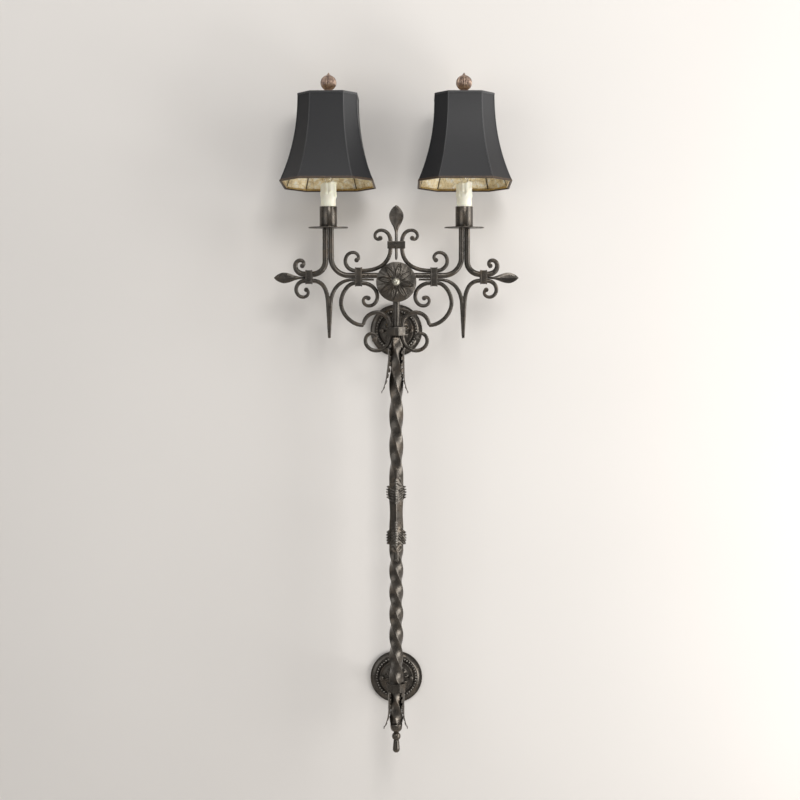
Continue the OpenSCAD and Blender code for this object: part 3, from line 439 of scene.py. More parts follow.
def forged_iron():
    look = Finish("ForgedIron")
    iron = colours().iron
    tone = look.ramp(look.noise(46, 4, 0.6), (0.3, toned(iron, 0.72)), (0.5, iron),
                     (0.72, toned(iron, 1.32, 1.2, 1.08)))
    rub = look.ramp(look.noise(210, 3, 0.65), (0.58, (0, 0, 0)), (0.76, (1, 1, 1)))
    look.colour(look.mix(tone, colours().rubbed_and_highlight, look.span(rub, 0.0, 0.5, 0.0, 1.0)))
    look.polish(120, 3, 0.25, 0.37)
    fine = look.bump(look.noise(900, 4, 0.6), 0.3, 0.0001)
    look.normal(look.bump(look.cells(130, "SMOOTH_F1"), 0.35, 0.0003, fine))
    look.set(Metallic=0.9, IOR=1.5)
    return look.material


# Lighter iron for the beads: wear from rubbing, and also a painted highlight standing in for
# their catch-lights.
def rubbed_and_highlight_iron():
    look = Finish("RubbedAndHighlightIron")
    rubbed_and_highlight = colours().rubbed_and_highlight
    look.colour(look.ramp(look.noise(160, 4, 0.6), (0.3, colours().iron), (0.45, rubbed_and_highlight),
                          (0.7, toned(rubbed_and_highlight, 1.5))))
    look.polish(220, 3, 0.24, 0.36)
    look.grain(900, 4, 0.3, rough=0.6)
    look.set(Metallic=0.9, IOR=1.5)
    return look.material


def zinc_plate():
    look = Finish("ZincPlate")
    look.colour(look.ramp(look.noise(80), (0.3, (0.36, 0.36, 0.35)), (0.7, (0.55, 0.55, 0.53))))
    look.polish(300, 2, 0.28, 0.48)
    look.grain(700)
    look.set(Metallic=0.9)
    return look.material


def worn_brass():
    look = Finish("WornBrass")
    look.colour(look.ramp(look.noise(140, 4), (0.3, (0.36, 0.25, 0.09)),
                          (0.7, (0.66, 0.49, 0.22))))
    look.polish(260, 2, 0.25, 0.45)
    look.grain(600)
    look.set(Metallic=0.95)
    return look.material


def black_rubber():
    look = Finish("LeadSheath")
    look.colour(look.ramp(look.noise(300, 2), (0.3, (0.02, 0.02, 0.02)),
                          (0.7, (0.04, 0.04, 0.04))))
    look.grain(900)
    look.set(Roughness=0.6)
    return look.material


def black_satin():
    look = Finish("BlackSatin")
    satin = colours().satin
    slub = look.noise(160, 3, 0.6, (1, 1, 9))
    look.colour(look.ramp(slub, (0.3, satin), (0.75, toned(satin, 1.35))))
    weave = look.bump(look.noise(2600, 2, 0.5, (1, 1, 0.4)), 0.25, 0.00008)
    look.normal(look.bump(slub, 0.16, 0.0001, weave))
    look.set(Roughness=0.42, Specular_IOR_Level=0.32, Sheen_Weight=0.04, Sheen_Roughness=0.4,
             Sheen_Tint=(0.55, 0.55, 0.6, 1))
    return look.material


def trim_tape():
    look = Finish("TrimTape")
    satin = colours().satin
    ribs = look.noise(900, 2, 0.5, (1, 1, 3))
    look.colour(look.ramp(ribs, (0.3, toned(satin, 0.8)), (0.7, toned(satin, 1.5))))
    look.normal(look.bump(ribs, 0.4, 0.00015))
    look.set(Roughness=0.42, Sheen_Weight=0.2)
    return look.material


def rim_tape():
    look = Finish("RimTape")
    look.colour(look.ramp(look.noise(520), (0.35, (0.03, 0.02, 0.014)),
                          (0.7, (0.10, 0.066, 0.038))))
    look.grain(900, 2, 0.35, 0.00015)
    look.set(Roughness=0.45, Metallic=0.3)
    return look.material


def gold_leaf():
    look = Finish("GoldLeaf")
    gold = colours().gold
    crinkle = look.noise(95, 6, 0.7)
    tone = look.ramp(crinkle, (0.32, toned(gold, 0.66, 0.58, 0.46)), (0.5, gold),
                     (0.66, toned(gold, 1.35, 1.45, 1.9)))
    cracks = look.ramp(look.cells(60, "DISTANCE_TO_EDGE"), (0.0, (0.5, 0.42, 0.3)),
                       (0.05, (1, 1, 1)))
    look.colour(look.mix(tone, cracks, 0.5, "MULTIPLY"))
    look.roughness(look.span(crinkle, 0.26, 0.5))
    fine = look.bump(look.noise(420, 4, 0.7), 0.5, 0.0003)
    look.normal(look.bump(crinkle, 0.8, 0.0012, fine))
    look.set(Metallic=0.15)
    return look.material


def candle_wax():
    look = Finish("CandleWax")
    wax = colours().wax
    pale = tuple(min(1, c * 1.12 + 0.04) for c in wax)
    look.colour(look.ramp(look.noise(70), (0.3, wax), (0.7, pale)))
    look.grain(240, 3, 0.25, 0.0002)
    look.set(Roughness=0.42, Subsurface_Weight=0.12, Subsurface_Scale=0.004,
             Subsurface_Radius=(1.0, 0.7, 0.35))
    return look.material


def aged_copper():
    look = Finish("AgedCopper")
    copper = colours().copper
    look.colour(look.ramp(look.noise(170, 4, 0.65), (0.34, toned(copper, 0.5)), (0.5, copper),
                          (0.7, toned(copper, 1.5, 1.6, 1.5))))
    look.polish(220, 3, 0.26, 0.5)
    look.grain(700, 3, 0.3, 0.00015)
    look.set(Metallic=0.85)
    return look.material


def pale_pewter():
    look = Finish("PalePewter")
    pewter = colours().pewter
    look.colour(look.ramp(look.noise(260), (0.3, toned(pewter, 0.8)), (0.7, pewter)))
    look.polish(300, 2, 0.22, 0.4)
    look.grain(500)
    look.set(Metallic=0.7)
    return look.material


def clear_glass():
    look = Finish("ClearGlass")
    look.colour(look.ramp(look.noise(120, 2), (0.3, (0.95, 0.95, 0.94)),
                          (0.7, (0.99, 0.99, 0.98))))
    look.grain(300, 2, 0.08)
    look.set(Roughness=0.03, Transmission_Weight=1.0, IOR=1.45)
    return look.material


# ---------- stage ----------

class SCONCE_OT_stage(bpy.types.Operator):
    """Sets up the pale wall and floor, the soft lamps and the camera"""
    bl_idname = "sconce.stage"
    bl_label = "Stage"

    plane_size = 9
    wall_place, wall_turn = (0, 0.0015, 0.3), (math.pi / 2, 0, 0)
    floor_place, floor_turn = (0, -4.4, -1.9), (0, 0, 0)
    # A piece this close to the wall gets the sky's light through it.
    clear_reach = 0.004
    # Each lamp's name, place, aim, watts, width, height and colour.
    lamps = (
        ("SideLamp", (2.3, -0.85, 0.66), (0, -0.85, 0.66), 43, 1.6, 1.8, (1.0, 0.99, 0.98)),
        ("KeyLamp", (0.6, -2.8, 1.6), (0, -0.1, -0.1), 29, 0.9, 0.9, (1.0, 0.985, 0.97)),
        ("FillLamp", (-2.2, -3.0, 0.3), (0, -0.1, -0.2), 24, 2.4, 2.4, (0.98, 0.99, 1.0)),
        ("TopLamp", (0.0, -1.3, 2.3), (0, -0.05, 0), 15, 1.4, 1.4, (1.0, 0.99, 0.98)),
        ("BounceLamp", (1.6, -1.0, -0.8), (0, -0.1, 0.3), 18, 1.0, 0.8, (1.0, 0.99, 0.98)))
    sky_colour, sky_strength = (0.93, 0.94, 0.96, 1), 0.24
    camera_place = (0.007, -3.7816, 0.0529)
    camera_dip = math.radians(1.783)
    lens, sensor = 88.32, 36
    photo_pixels, shift_pixels = 800, -36

    def plane(self, name, place, turn, material):
        deselect()
        bpy.ops.mesh.primitive_plane_add(size=self.plane_size, location=place, rotation=turn)
        piece = named(bpy.context.active_object, name)
        piece.data.materials.append(material)

    def plaster(self):
        """Pale plaster, clear from behind and to what lies against it."""
        look = Finish("PalePlaster")
        wall = colours().wall
        look.colour(look.ramp(look.noise(1.1, 2), (0.3, toned(wall, 0.955)), (0.7, wall)))
        look.grain(60, 4, 0.06, 0.0004)
        look.set(Roughness=0.9)
        ray_length = look.node("ShaderNodeLightPath").outputs["Ray Length"]
        behind = look.node("ShaderNodeNewGeometry").outputs["Backfacing"]
        near = look.maths("LESS_THAN", ray_length, self.clear_reach)
        choice = look.node("ShaderNodeMixShader")
        look.link(look.maths("MAXIMUM", behind, near), choice.inputs[0])
        look.link(look.shader.outputs[0], choice.inputs[1])
        look.link(look.node("ShaderNodeBsdfTransparent").outputs[0], choice.inputs[2])
        look.link(choice.outputs[0], look.tree.nodes["Material Output"].inputs["Surface"])
        return look.material

    def lamp(self, name, place, aim, watts, width, height, colour):
        data = bpy.data.lights.new(name, "AREA")
        data.energy = watts
        data.shape = "RECTANGLE"
        data.size = width
        data.size_y = height
        data.color = colour
        lamp = bpy.data.objects.new(name, data)
        bpy.context.scene.collection.objects.link(lamp)
        lamp.location = place
        lamp.rotation_euler = (Vector(aim) - Vector(place)).to_track_quat("-Z", "Y").to_euler()

    def sky(self, scene):
        world = bpy.data.worlds.new("StudioWorld")
        world.use_nodes = True
        background = world.node_tree.nodes["Background"]
        background.inputs["Color"].default_value = self.sky_colour
        background.inputs["Strength"].default_value = self.sky_strength
        scene.world = world

    def camera(self, scene):
        data = bpy.data.cameras.new("Camera")
        data.sensor_width = self.sensor
        data.lens = self.lens
        data.shift_y = self.shift_pixels / self.photo_pixels
        camera = bpy.data.objects.new("Camera", data)
        scene.collection.objects.link(camera)
        camera.location = self.camera_place
        camera.rotation_euler = (math.pi / 2 - self.camera_dip, 0, 0)
        scene.camera = camera

    def execute(self, context):
        plaster = self.plaster()
        self.plane("Wall", self.wall_place, self.wall_turn, plaster)
        self.plane("Floor", self.floor_place, self.floor_turn, plaster)
        for lamp in self.lamps:
            self.lamp(*lamp)
        self.sky(context.scene)
        context.scene.view_settings.view_transform = "Standard"
        self.camera(context.scene)
        return {"FINISHED"}


# ---------- forged bars ----------

class SCONCE_OT_forged_bars(bpy.types.Operator):
    """Rounds and hammers the scrolls, spikes, end leaves and crown spear"""
    bl_idname = "sconce.forged_bars"
    bl_label = "Forged Bars"

    voxel = 0.00065
    weld_radius = 0.0036
    weld_reach = 0.0012

    def execute(self, context):
        for side in SIDES:
            for part in ("outer_scroll", "spike", "crown_scroll"):
                node = f"{side}_{part}"
                self.bar(copy_of(node, node + "_bar"), node)
            nodes = (side + "_lower_scroll", side + "_brace_scroll")
            scrolls = [copy_of(node, node) for node in nodes]
            self.bar(joined([*scrolls, self.weld(*scrolls)], side + "_lower_scroll_bar"), *nodes)
        for node in ("end_leaves", "crown_spear"):
            piece = copy_of(node, node + "_forged")
            subdivided(piece)
            hammered(piece, 0.8)
            smooth(piece, 30)
            ironwork(piece, node)
        return {"FINISHED"}

    def bar(self, piece, *nodes):
        forged(piece, self.voxel)
        ironwork(piece, *nodes)

    def weld(self, first, second):
        """A blob of iron where two bars come closest at their ends."""
        tree = KDTree(len(first.data.vertices))
        for i, vertex in enumerate(first.data.vertices):
            tree.insert(vertex.co, i)
        tree.balance()
        gaps = [(tree.find(v.co)[2], v.co.copy()) for v in second.data.vertices]
        nearest = min(gap for gap, place in gaps)
        places = [place for gap, place in gaps if gap < nearest + self.weld_reach]
        centre = sum(places, Vector()) / len(places)
        deselect()
        bpy.ops.mesh.primitive_ico_sphere_add(subdivisions=3, radius=self.weld_radius,
                                              location=centre)
        blob = bpy.context.active_object
        bpy.ops.object.transform_apply(location=True, rotation=True, scale=True)
        return blob


class SCONCE_OT_shaft(bpy.types.Operator):
    """Hammers the twisted square bar"""
    bl_idname = "sconce.shaft"
    bl_label = "Twisted Shaft"

    def execute(self, context):
        piece = copy_of("shaft", "twisted_shaft")
        subdivided(piece)
        hammered(piece, 0.5, 2.0)
        smooth(piece, 32)
        ironwork(piece, "shaft")
        return {"FINISHED"}


class SCONCE_OT_bands(bpy.types.Operator):
    """Softens and hammers the straps and collars"""
    bl_idname = "sconce.bands"
    bl_label = "Straps and Collars"

    voxel = 0.0005
    hammering = 0.6
    rim_wide, rim_proud = 0.0016, 0.0006
    # How wide each collar of a pair is, along x.
    collars = {"arm_collars": 0.0133, "end_collars": 0.013}

    def execute(self, context):
        for node in ("upper_strap", "lower_strap", "crown_collar", "arm_collars", "end_collars"):
            piece = copy_of(node, node + "_band")
            if node in self.collars:
                piece = joined([piece, *self.rims(node)], node + "_band")
            forged(piece, self.voxel, self.hammering)
            ironwork(piece, node)
        return {"FINISHED"}

    def rims(self, node):
        """The raised edges of a pair of collars."""
        low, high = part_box(node)
        wide, proud = self.rim_wide, self.rim_proud
        made = []
        for side in (-1, 1):
            for inner in (high.x - self.collars[node], high.x - wide):
                centre = Vector((side * (inner + wide / 2), (low.y + high.y) / 2,
                                 (low.z + high.z) / 2))
                deselect()
                bpy.ops.mesh.primitive_cube_add(size=1)
                rim = bpy.context.active_object
                rim.data.transform(Matrix.Translation(centre) @ Matrix.Diagonal(
                    (wide, high.y - low.y + 2 * proud, high.z - low.z + 2 * proud, 1)))
                made.append(rim)
        return made


class SCONCE_OT_tubes(bpy.types.Operator):
    """Smooths the riser, stems, hub, arms, foot cap, drop and ball nuts"""
    bl_idname = "sconce.tubes"
    bl_label = "Tubes and Foot"

    # Bevel on the sharp ends of a piece.
    ends = {"riser": 0.0004, "hub": 0.0004}

    def execute(self, context):
        for node in ("riser", "upper_stem", "lower_stem", "hub", "left_arm", "right_arm",
                     "foot_cap", "drop_finial", "plate_ball_nuts"):
            ironwork(eased_copy(node, node + "_iron", 35, self.ends.get(node, 0.0)), node)
        return {"FINISHED"}


# ---------- leaves ----------

class SCONCE_OT_side_leaves(bpy.types.Operator):
    """Bends a scalloped leaf round each side of the shaft, under both straps"""
    bl_idname = "sconce.side_leaves"
    bl_label = "Side Leaves"

    metal = 0.0009
    # How far round the shaft a leaf's edge lies from its middle.
    wrap = math.radians(52)
    scallops, notch = 7.5, 0.30
    stand, rib, curl, ridge = 0.0014, 0.0005, 0.0016, 0.0006
    # Each leaf's side, how far its tip bends out, the share of its length where that
    # begins, and how far its lower part stands off.
    leaves = {
        "upper_side_leaves": ((-1, 0.0098, 0.5, 0.0030), (1, 0.0070, 0.62, 0.0004)),
        "lower_side_leaves": ((-1, 0.0088, 0.6, 0.0), (1, 0.0066, 0.66, 0.0)),
    }

    def half_wrap(self, t, edge):
        """The leaf's half width as an angle: a narrow root, notches and a tapering end."""
        half = self.wrap * (0.72 + 2.8 * t if t < 0.1 else 1.0)
        if t > 0.5:
            half *= max((1.03 - t) / 0.53, 0.0) ** 0.85
        fade = 1 if t < 0.8 else 0.4
        return half * (1 - self.notch * edge ** 3 * (1 - (t * self.scallops) % 1) * fade)

    def leaf(self, name, node, mirror, flare, start, spread):
        low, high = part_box(node)
        top, length = high.z, high.z - low.z

        def place(u, t):
            across = 2 * u - 1
            edge = abs(across)
            wave = t * self.scallops * TURN
            reach = CORNER_R + self.stand + self.rib * math.cos(wave) * edge
            reach += self.curl * edge ** 3 * max(math.sin(wave), 0)
            reach += self.ridge * (1 - edge) ** 2
            reach += flare * (max(t - start, 0) / (1 - start)) ** 1.8
            reach += spread * min(1.0, max(t - 0.25, 0) / 0.3)
            angle = self.half_wrap(t, edge) * across
            return Vector((reach * math.cos(angle) * mirror, TORCH_Y + reach * math.sin(angle),
                           top - t * length))

        piece = sheet_of(name, 18, 96, place, self.metal)
        smooth(piece, 50)
        return piece

    def execute(self, context):
        for node, shapes in self.leaves.items():
            pair = [self.leaf(f"{node}_{i}", node, *shape) for i, shape in enumerate(shapes)]
            piece = joined(pair, node + "_cut")
            in_edit(piece, turn_faces_out)
            ironwork(piece, node)
        return {"FINISHED"}


class SCONCE_OT_cast_leaves(bpy.types.Operator):
    """Casts the ribbed leaves that clasp the shaft's corner, tip up and tip down"""
    bl_idname = "sconce.cast_leaves"
    bl_label = "Cast Leaves"

    metal, tip_metal, stand = 0.0011, 0.0010, 0.0016
    # The blade stays at least this far in front of the shaft's axis.
    least = 0.0030
    # Half widths of the root, the wings, the neck above them and the leaf.
    root_half, wing_half, neck_half, leaf_half = 0.0090, 0.0124, 0.0122, 0.0076
    teeth, tooth = 5, 0.0058
    rib, vein = 0.0026, 0.0013
    bead_count, bead_r, bead_pitch = 10, 0.0025, 0.0047
    # How far the end laps the blade and runs on past it, its half width and its curl.
    tip_lap, tip_run, tip_half = 0.012, 0.015, 0.0050
    curl_r, curl_turn = 0.0027, math.radians(260)
    # Each leaf's direction, the heights its wings lie between, its height and its lift.
    upper = (1, (0.0035, 0.0280), 0.053, 0.0065)
    lower = (-1, (0.0095, 0.0350), 0.060, 0.0110)
    lower_root_gap = 0.004

    def outline(self, h, wings, height):
        """Half width of the leaf at a height above its root, in metres."""
        start, end = wings
        if h < start:
            return self.root_half + 0.0030 * h / start
        if h < end:
            share = (h - start) / (end - start)
            part = (share * self.teeth) % 1
            point = (part / 0.75) ** 2.2 if part < 0.75 else (1 - part) / 0.25
            return self.wing_half + 0.0014 * math.sin(math.pi * share) + self.tooth * point
        share = (h - end) / (height - end)
        if share < 0.1:
            return self.neck_half * (1 - share / 0.1) + self.leaf_half * share / 0.1
        lobe = (share * 2.2 + 0.8) % 1
        return self.leaf_half - 0.0022 * share + 0.0024 * math.sin(math.pi * lobe) ** 0.6

    def casting(self, name, root, turn, up, wings, height, lift):
        """One leaf's blade with its curled end, and its spine of beads."""
        start, end = wings

        def place(u, v):
            side = 2 * u - 1
            h = v * height
            x = side * self.outline(h, wings, height)
            edge = abs(x)
            clasp = 0.92 - 0.42 * min(1.0, max(0.0, (h - 0.012) / 0.020))
            y = -max(CORNER_R + self.stand - clasp * edge, self.least)
            raised = lift * abs(side) ** 1.5
            if h < start:
                h += raised * h / start
            elif h < end:
                rib = math.sin(math.pi * ((h - start) / (end - start) * self.teeth % 1)) ** 0.7
                y -= self.rib * rib * min(1.0, max(0.0, edge - 0.0032) / 0.007)
                h += raised
            else:
                share = (h - end) / (height - end)
                h += raised * max(0.0, 1 - share * 1.6)
                y -= self.vein * abs(math.sin(math.pi * (share * 2 + abs(side) * 0.9)))
            return Vector((x, y, up * h))

        blade = sheet_of(name, 56, 160, place, self.metal)
        tip = self.tip(name + "_tip", height, up)
        spine = beads(name + "_spine", [
            Vector((0, -CORNER_R - 0.0026, up * (0.0045 + self.bead_pitch * i)))
            for i in range(self.bead_count)], self.bead_r, 8)
        place_of = Matrix.Translation((0, TORCH_Y, root)) @ Matrix.Rotation(turn, 4, "Z")
        piece = joined([blade, tip], name)
        piece.data.transform(place_of)
        spine.data.transform(place_of)
        return piece, spine

    def tip(self, name, height, up):
        """The leaf's end: it runs on along the corner and curls forward."""
        def place(u, v):
            side = 2 * u - 1
            wide = self.tip_half * (1 - 0.35 * v)
            if v < 0.6:
                h = height - self.tip_lap + (self.tip_lap + self.tip_run) * v / 0.6
                y = -CORNER_R - 0.0006 - 0.0030 * (v / 0.6) ** 0.7
            else:
                angle = (v - 0.6) / 0.4 * self.curl_turn
                h = height + self.tip_run + self.curl_r * math.sin(angle)
                y = -CORNER_R - 0.0036 - self.curl_r * (1 - math.cos(angle))
                wide *= 1 - 0.35 * (v - 0.6) / 0.4
            fade = min(1.0, (1 - v) / 0.5)
            y += 0.0026 * abs(side) * fade
            y -= 0.0007 * abs(math.sin(side * math.pi * 2)) * fade
            return Vector((side * wide, y, up * h))

        return sheet_of(name, 12, 44, place, self.tip_metal)

    def execute(self, context):
        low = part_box("upper_cast_leaves")[0].z
        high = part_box("lower_cast_leaves")[1].z + self.lower_root_gap
        for node, root, shape in (("upper_cast_leaves", low, self.upper),
                                  ("lower_cast_leaves", high, self.lower)):
            # One leaf on the front of the bar and one on the back.
            leaves = [self.casting(f"{node}_{i}", root, turn, *shape)
                      for i, turn in enumerate((0, math.pi))]
            piece = joined([blade for blade, _ in leaves], node + "_casting")
            in_edit(piece, turn_faces_out)
            smooth(piece, 45)
            ironwork(piece, node)
            # The spine's beads in lighter iron: wear, and also a painted highlight.
            rubbed_and_highlight_trim(joined([spine for _, spine in leaves], node + "_spine"))
        return {"FINISHED"}


# ---------- round plates ----------

class SCONCE_OT_wall_plates(bpy.types.Operator):
    """Stamps the wall plates with their cove, beads and centre flower"""
    bl_idname = "sconce.wall_plates"
    bl_label = "Wall Plates"

    metal = 0.0009
    rim, bead_ring, dome, hole = 0.0495, 0.0375, 0.0345, 0.0064
    rim_depth, cove_depth, cove_width = 0.0032, 0.0055, 0.0103
    # Depth of the ledge that the dome rises from, and how far the groove round it sinks.
    ledge, groove = 0.0085, 0.0024
    bead_r, bead_depth = 0.0018, 0.0092
    petals, petal_root, petal_length, petal_rise = 12, 0.0095, 0.0140, 0.0036
    edge_r = 0.0010

    def height(self, r):
        """Depth of the stamped face in front of the wall."""
        if r > self.bead_ring + self.bead_r:
            part = (self.rim - r) / self.cove_width
            return self.rim_depth + self.cove_depth * (1 - math.sqrt(max(0.0, 1 - part * part)))
        if r > self.dome:
            return self.ledge - self.groove
        part = max(0.0, (self.dome - r) / (self.dome - 0.0093))
        flank = min(1.0, part / 0.13)
        lip = 0.0007 * math.exp(-((part - 0.13) / 0.05) ** 2)
        rise = 0.0042 * flank * flank * (3 - 2 * flank)
        return self.ledge + rise + lip + 0.0043 * min(1.0, part) ** 1.2

    def flower(self, r, angle):
        """Drop-shaped petals stamped round the stem."""
        part = (r - self.petal_root) / self.petal_length
        if not 0 < part < 1:
            return 0
        petal = abs(math.cos(self.petals / 2 * (angle - 0.1)))
        width = 0.45 + 0.42 * (1 - part)
        across = max(0, (petal - width) / (1 - width)) ** 0.6
        return self.petal_rise * math.sin(math.pi * part ** 1.3) ** 0.7 * across

    def plate(self, name, node):
        centre = Vector((0, 0, middle(node).z))

        def place(u, v):
            angle = u * TURN
            if v < 0.06:
                r, deep = self.rim, 0.0034 * v / 0.06
            else:
                r = self.rim + (self.hole - self.rim) * (v - 0.06) / 0.94
                deep = self.height(r) + self.flower(r, angle)
            return centre + Vector((r * math.cos(angle), -deep, r * math.sin(angle)))

        face = sheet_of(name, 288, 110, place, self.metal)
        count = sizes().plate_beads
        ring = [centre + Vector((self.bead_ring * math.cos(a), -self.bead_depth,
                                 self.bead_ring * math.sin(a)))
                for a in (TURN * i / count for i in range(count))]
        # The ring's beads in lighter iron: wear, and also a painted highlight.
        rubbed_and_highlight_trim(beads(name + "_beads", ring, self.bead_r))
        lip = [(self.rim - 0.0006 + self.edge_r * math.cos(a), 0.0030 + self.edge_r * math.sin(a))
               for a in (TURN * i / 8 for i in range(9))]
        edge = turned(name + "_edge", lip, 96, centre, True)
        piece = joined([face, edge], name)
        smooth(piece, 50)
        return piece

    def execute(self, context):
        for node in ("upper_wall_plate", "lower_wall_plate"):
            ironwork(self.plate(node + "_stamped", node), node)
        return {"FINISHED"}


class SCONCE_OT_rosette(bpy.types.Operator):
    """Embosses the rosette's pointed leaves and sets its button"""
    bl_idname = "sconce.rosette"
    bl_label = "Rosette"

    metal, hole, dome, stand = 0.0011, 0.0032, 0.009, 0.0012
    leaves, first_leaf = 8, math.radians(78.5)
    leaf_root, leaf_point, leaf_half = 0.0092, 0.0362, 0.0047
    outline, vein, blade, valley = 0.0019, 0.0007, 0.0004, 0.0007
    seat_r, seat_depth = 0.0088, 0.0012

    def face(self, r, angle, radius):
        """Height of the embossed face above the rosette's back."""
        rise = self.dome * (1 - (r / radius) ** 2) + self.stand
        part = (r - self.leaf_root) / (self.leaf_point - self.leaf_root)
        step = TURN / self.leaves
        leaf = ((angle - self.first_leaf) / step) % 1
        off = abs(leaf - round(leaf)) * step * r
        if 0 < part < 1:
            full = math.sin(math.pi * part ** 0.8)
            inside = off / (self.leaf_half * full ** 0.8 + 1e-5)
            ends = min(1.0, full * 3)
            rise += self.outline * ends * math.exp(-((inside - 0.88) / 0.22) ** 2)
            rise += self.vein * ends * math.exp(-(inside / 0.16) ** 2)
            if inside < 1:
                rise += self.blade * ends
        between = max(0.0, 1 - abs(leaf - 0.5) / 0.12)
        rise -= self.valley * between * math.sin(math.pi * (r / radius))
        return rise - (self.seat_depth if r < self.seat_r else 0)

    def execute(self, context):
        low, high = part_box("rosette")
        centre = (low + high) / 2
        radius = (high.x - low.x) / 2

        def place(u, v):
            angle = u * TURN
            r = self.hole + (radius - self.hole) * v
            return Vector((centre.x + r * math.cos(angle), high.y - self.face(r, angle, radius),
                           centre.z + r * math.sin(angle)))

        piece = sheet_of("rosette_embossed", 400, 84, place, self.metal)
        smooth(piece, 60)
        ironwork(piece, "rosette")
        finish_piece(eased_copy("rosette_button", "rosette_button_cap", 40, 0.0004),
                     pale_pewter, ROOT, "pewter_button", "rosette_button")
        return {"FINISHED"}


# ---------- candles ----------

class SCONCE_OT_candles(bpy.types.Operator):
    """Makes the drip pans, cups, waxed sleeves and bulbs"""
    bl_idname = "sconce.candles"
    bl_label = "Candles"

    edge = 0.0003
    seeds = {"left": 11, "right": 23}
    run_count = 10
    # The bare sleeve is this much slimmer than the CAD's, which holds the wax.
    slimmer, metal = 0.0013, 0.0018
    # The top leans, waves five times round and has a soft bead.
    top_lift, top_lean, top_wave = 0.0003, 0.0026, 0.0009
    bead, bead_half = 0.0005, 0.002
    drop = 0.004
    clear_of_cup = 0.0006

    def wax_runs(self, side):
        """Each run's angle, half width in radians, length and share of the thickness."""
        random.seed(self.seeds[side])
        return [(i * TURN / self.run_count + random.uniform(-0.2, 0.2),
                 random.uniform(0.15, 0.3), random.uniform(0.012, 0.034),
                 random.uniform(0.6, 1.0)) for i in range(self.run_count)]

    def run_height(self, run, angle, below_top):
        """How far one run of wax stands off the sleeve at a point, or 0 beside it."""
        at, wide, length, full = run
        off = abs((angle - at + math.pi) % TURN - math.pi) / wide
        if off >= 1:
            return 0.0
        depth = below_top / length
        body = math.cos(off * math.pi / 2) ** 0.7
        foot = max(0.0, min(1, (1 - depth) * length / self.drop))
        swell = 0.6 + 0.5 * math.exp(-((depth - 0.85) / 0.2) ** 2)
        return sizes().wax_thickness * full * body * foot * swell

    def sleeve(self, side):
        node = side + "_candle_sleeve"
        low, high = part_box(node)
        centre = (low + high) / 2
        radius = (high.x - low.x) / 2 - self.slimmer
        wax_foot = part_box(side + "_candle_cup")[1].z + self.clear_of_cup
        runs = self.wax_runs(side)

        def place(u, v):
            angle = u * TURN
            end = (high.z + self.top_lift + self.top_lean * math.cos(angle + 0.5)
                   + self.top_wave * math.sin(5 * angle))
            z = low.z + (end - low.z) * v
            stand = 0.0
            if z > wax_foot:
                stand = max(self.run_height(run, angle, end - z) for run in runs)
            if z > end - 2 * self.bead_half:
                part = (end - self.bead_half - z) / self.bead_half
                stand += self.bead * math.sqrt(max(0, 1 - part ** 2))
            r = radius + stand
            return Vector((centre.x + r * math.cos(angle), centre.y + r * math.sin(angle), z))

        piece = sheet_of(node + "_wax", 144, 130, place, self.metal)
        modify(piece, "SMOOTH", factor=0.4, iterations=2)
        smooth(piece, 60)
        finish_piece(piece, candle_wax, ROOT, "ivory_sleeve", node)

    def execute(self, context):
        for side in SIDES:
            for part, edge_angle in (("_drip_pan", 40), ("_candle_cup", 60)):
                node = side + part
                ironwork(eased_copy(node, node + "_iron", 35, self.edge, edge_angle), node)
            self.sleeve(side)
            node = side + "_bulb"
            finish_piece(eased_copy(node, node + "_glass", 40), clear_glass, side + "_lamp",
                         "bulb_glass", node)
        return {"FINISHED"}


# ---------- shades ----------

JOINTS = {joint["name"]: joint for joint in frame["joints"]}
PIVOT = {side: Vector(JOINTS[side + "_shade_turn"]["pos_m"]) for side in SIDES}
LEAN = math.asin(JOINTS["right_shade_turn"]["axis"][1])
SHADE_TURN = {"left": math.radians(-2), "right": 0.0}
SHADE_H, SHADE_DROP = 0.166, 0.039
FOOT_W, TOP_W = 0.086, 0.0548
FOOT_PANEL, TOP_PANEL = 0.050, 0.031
COVER_T, LINING_T = 0.0009, 0.0005
PANELS = 8


def on_shade(side):
    """From the shade's own axes to the frame's."""
    return (Matrix.Translation(PIVOT[side]) @ Matrix.Rotation(-LEAN, 4, "X")
            @ Matrix.Rotation(SHADE_TURN[side], 4, "Z"))


def shade_plan(t, inset=0.0):
    """The eight corners of the shade at a share of its height."""
    flare = max(1 - t, 0.0) ** 2.2
    w = TOP_W + (FOOT_W - TOP_W) * flare - inset
    p = TOP_PANEL + (FOOT_PANEL - TOP_PANEL) * flare - inset * math.tan(math.pi / PANELS)
    z = SHADE_H * t - SHADE_DROP
    return [Vector(q) for q in ((w, -p, z), (w, p, z), (p, w, z), (-p, w, z), (-w, p, z),
                                (-w, -p, z), (-p, -w, z), (p, -w, z))]


def shade_point(u, t, inset=0.0):
    """A point on the shade's wall: u goes once round it from corner to corner."""
    corners = shade_plan(t, inset)
    step = u * PANELS
    first = int(step) % PANELS
    return corners[first].lerp(corners[(first + 1) % PANELS], step - int(step))


def shade_piece(piece, side, angle, make, slot, *nodes):
    """Sets a piece made on the shade's own axes in its place and finishes it."""
    piece.data.transform(on_shade(side))
    smooth(piece, angle)
    finish_piece(piece, make, side + "_shade", slot, *nodes)


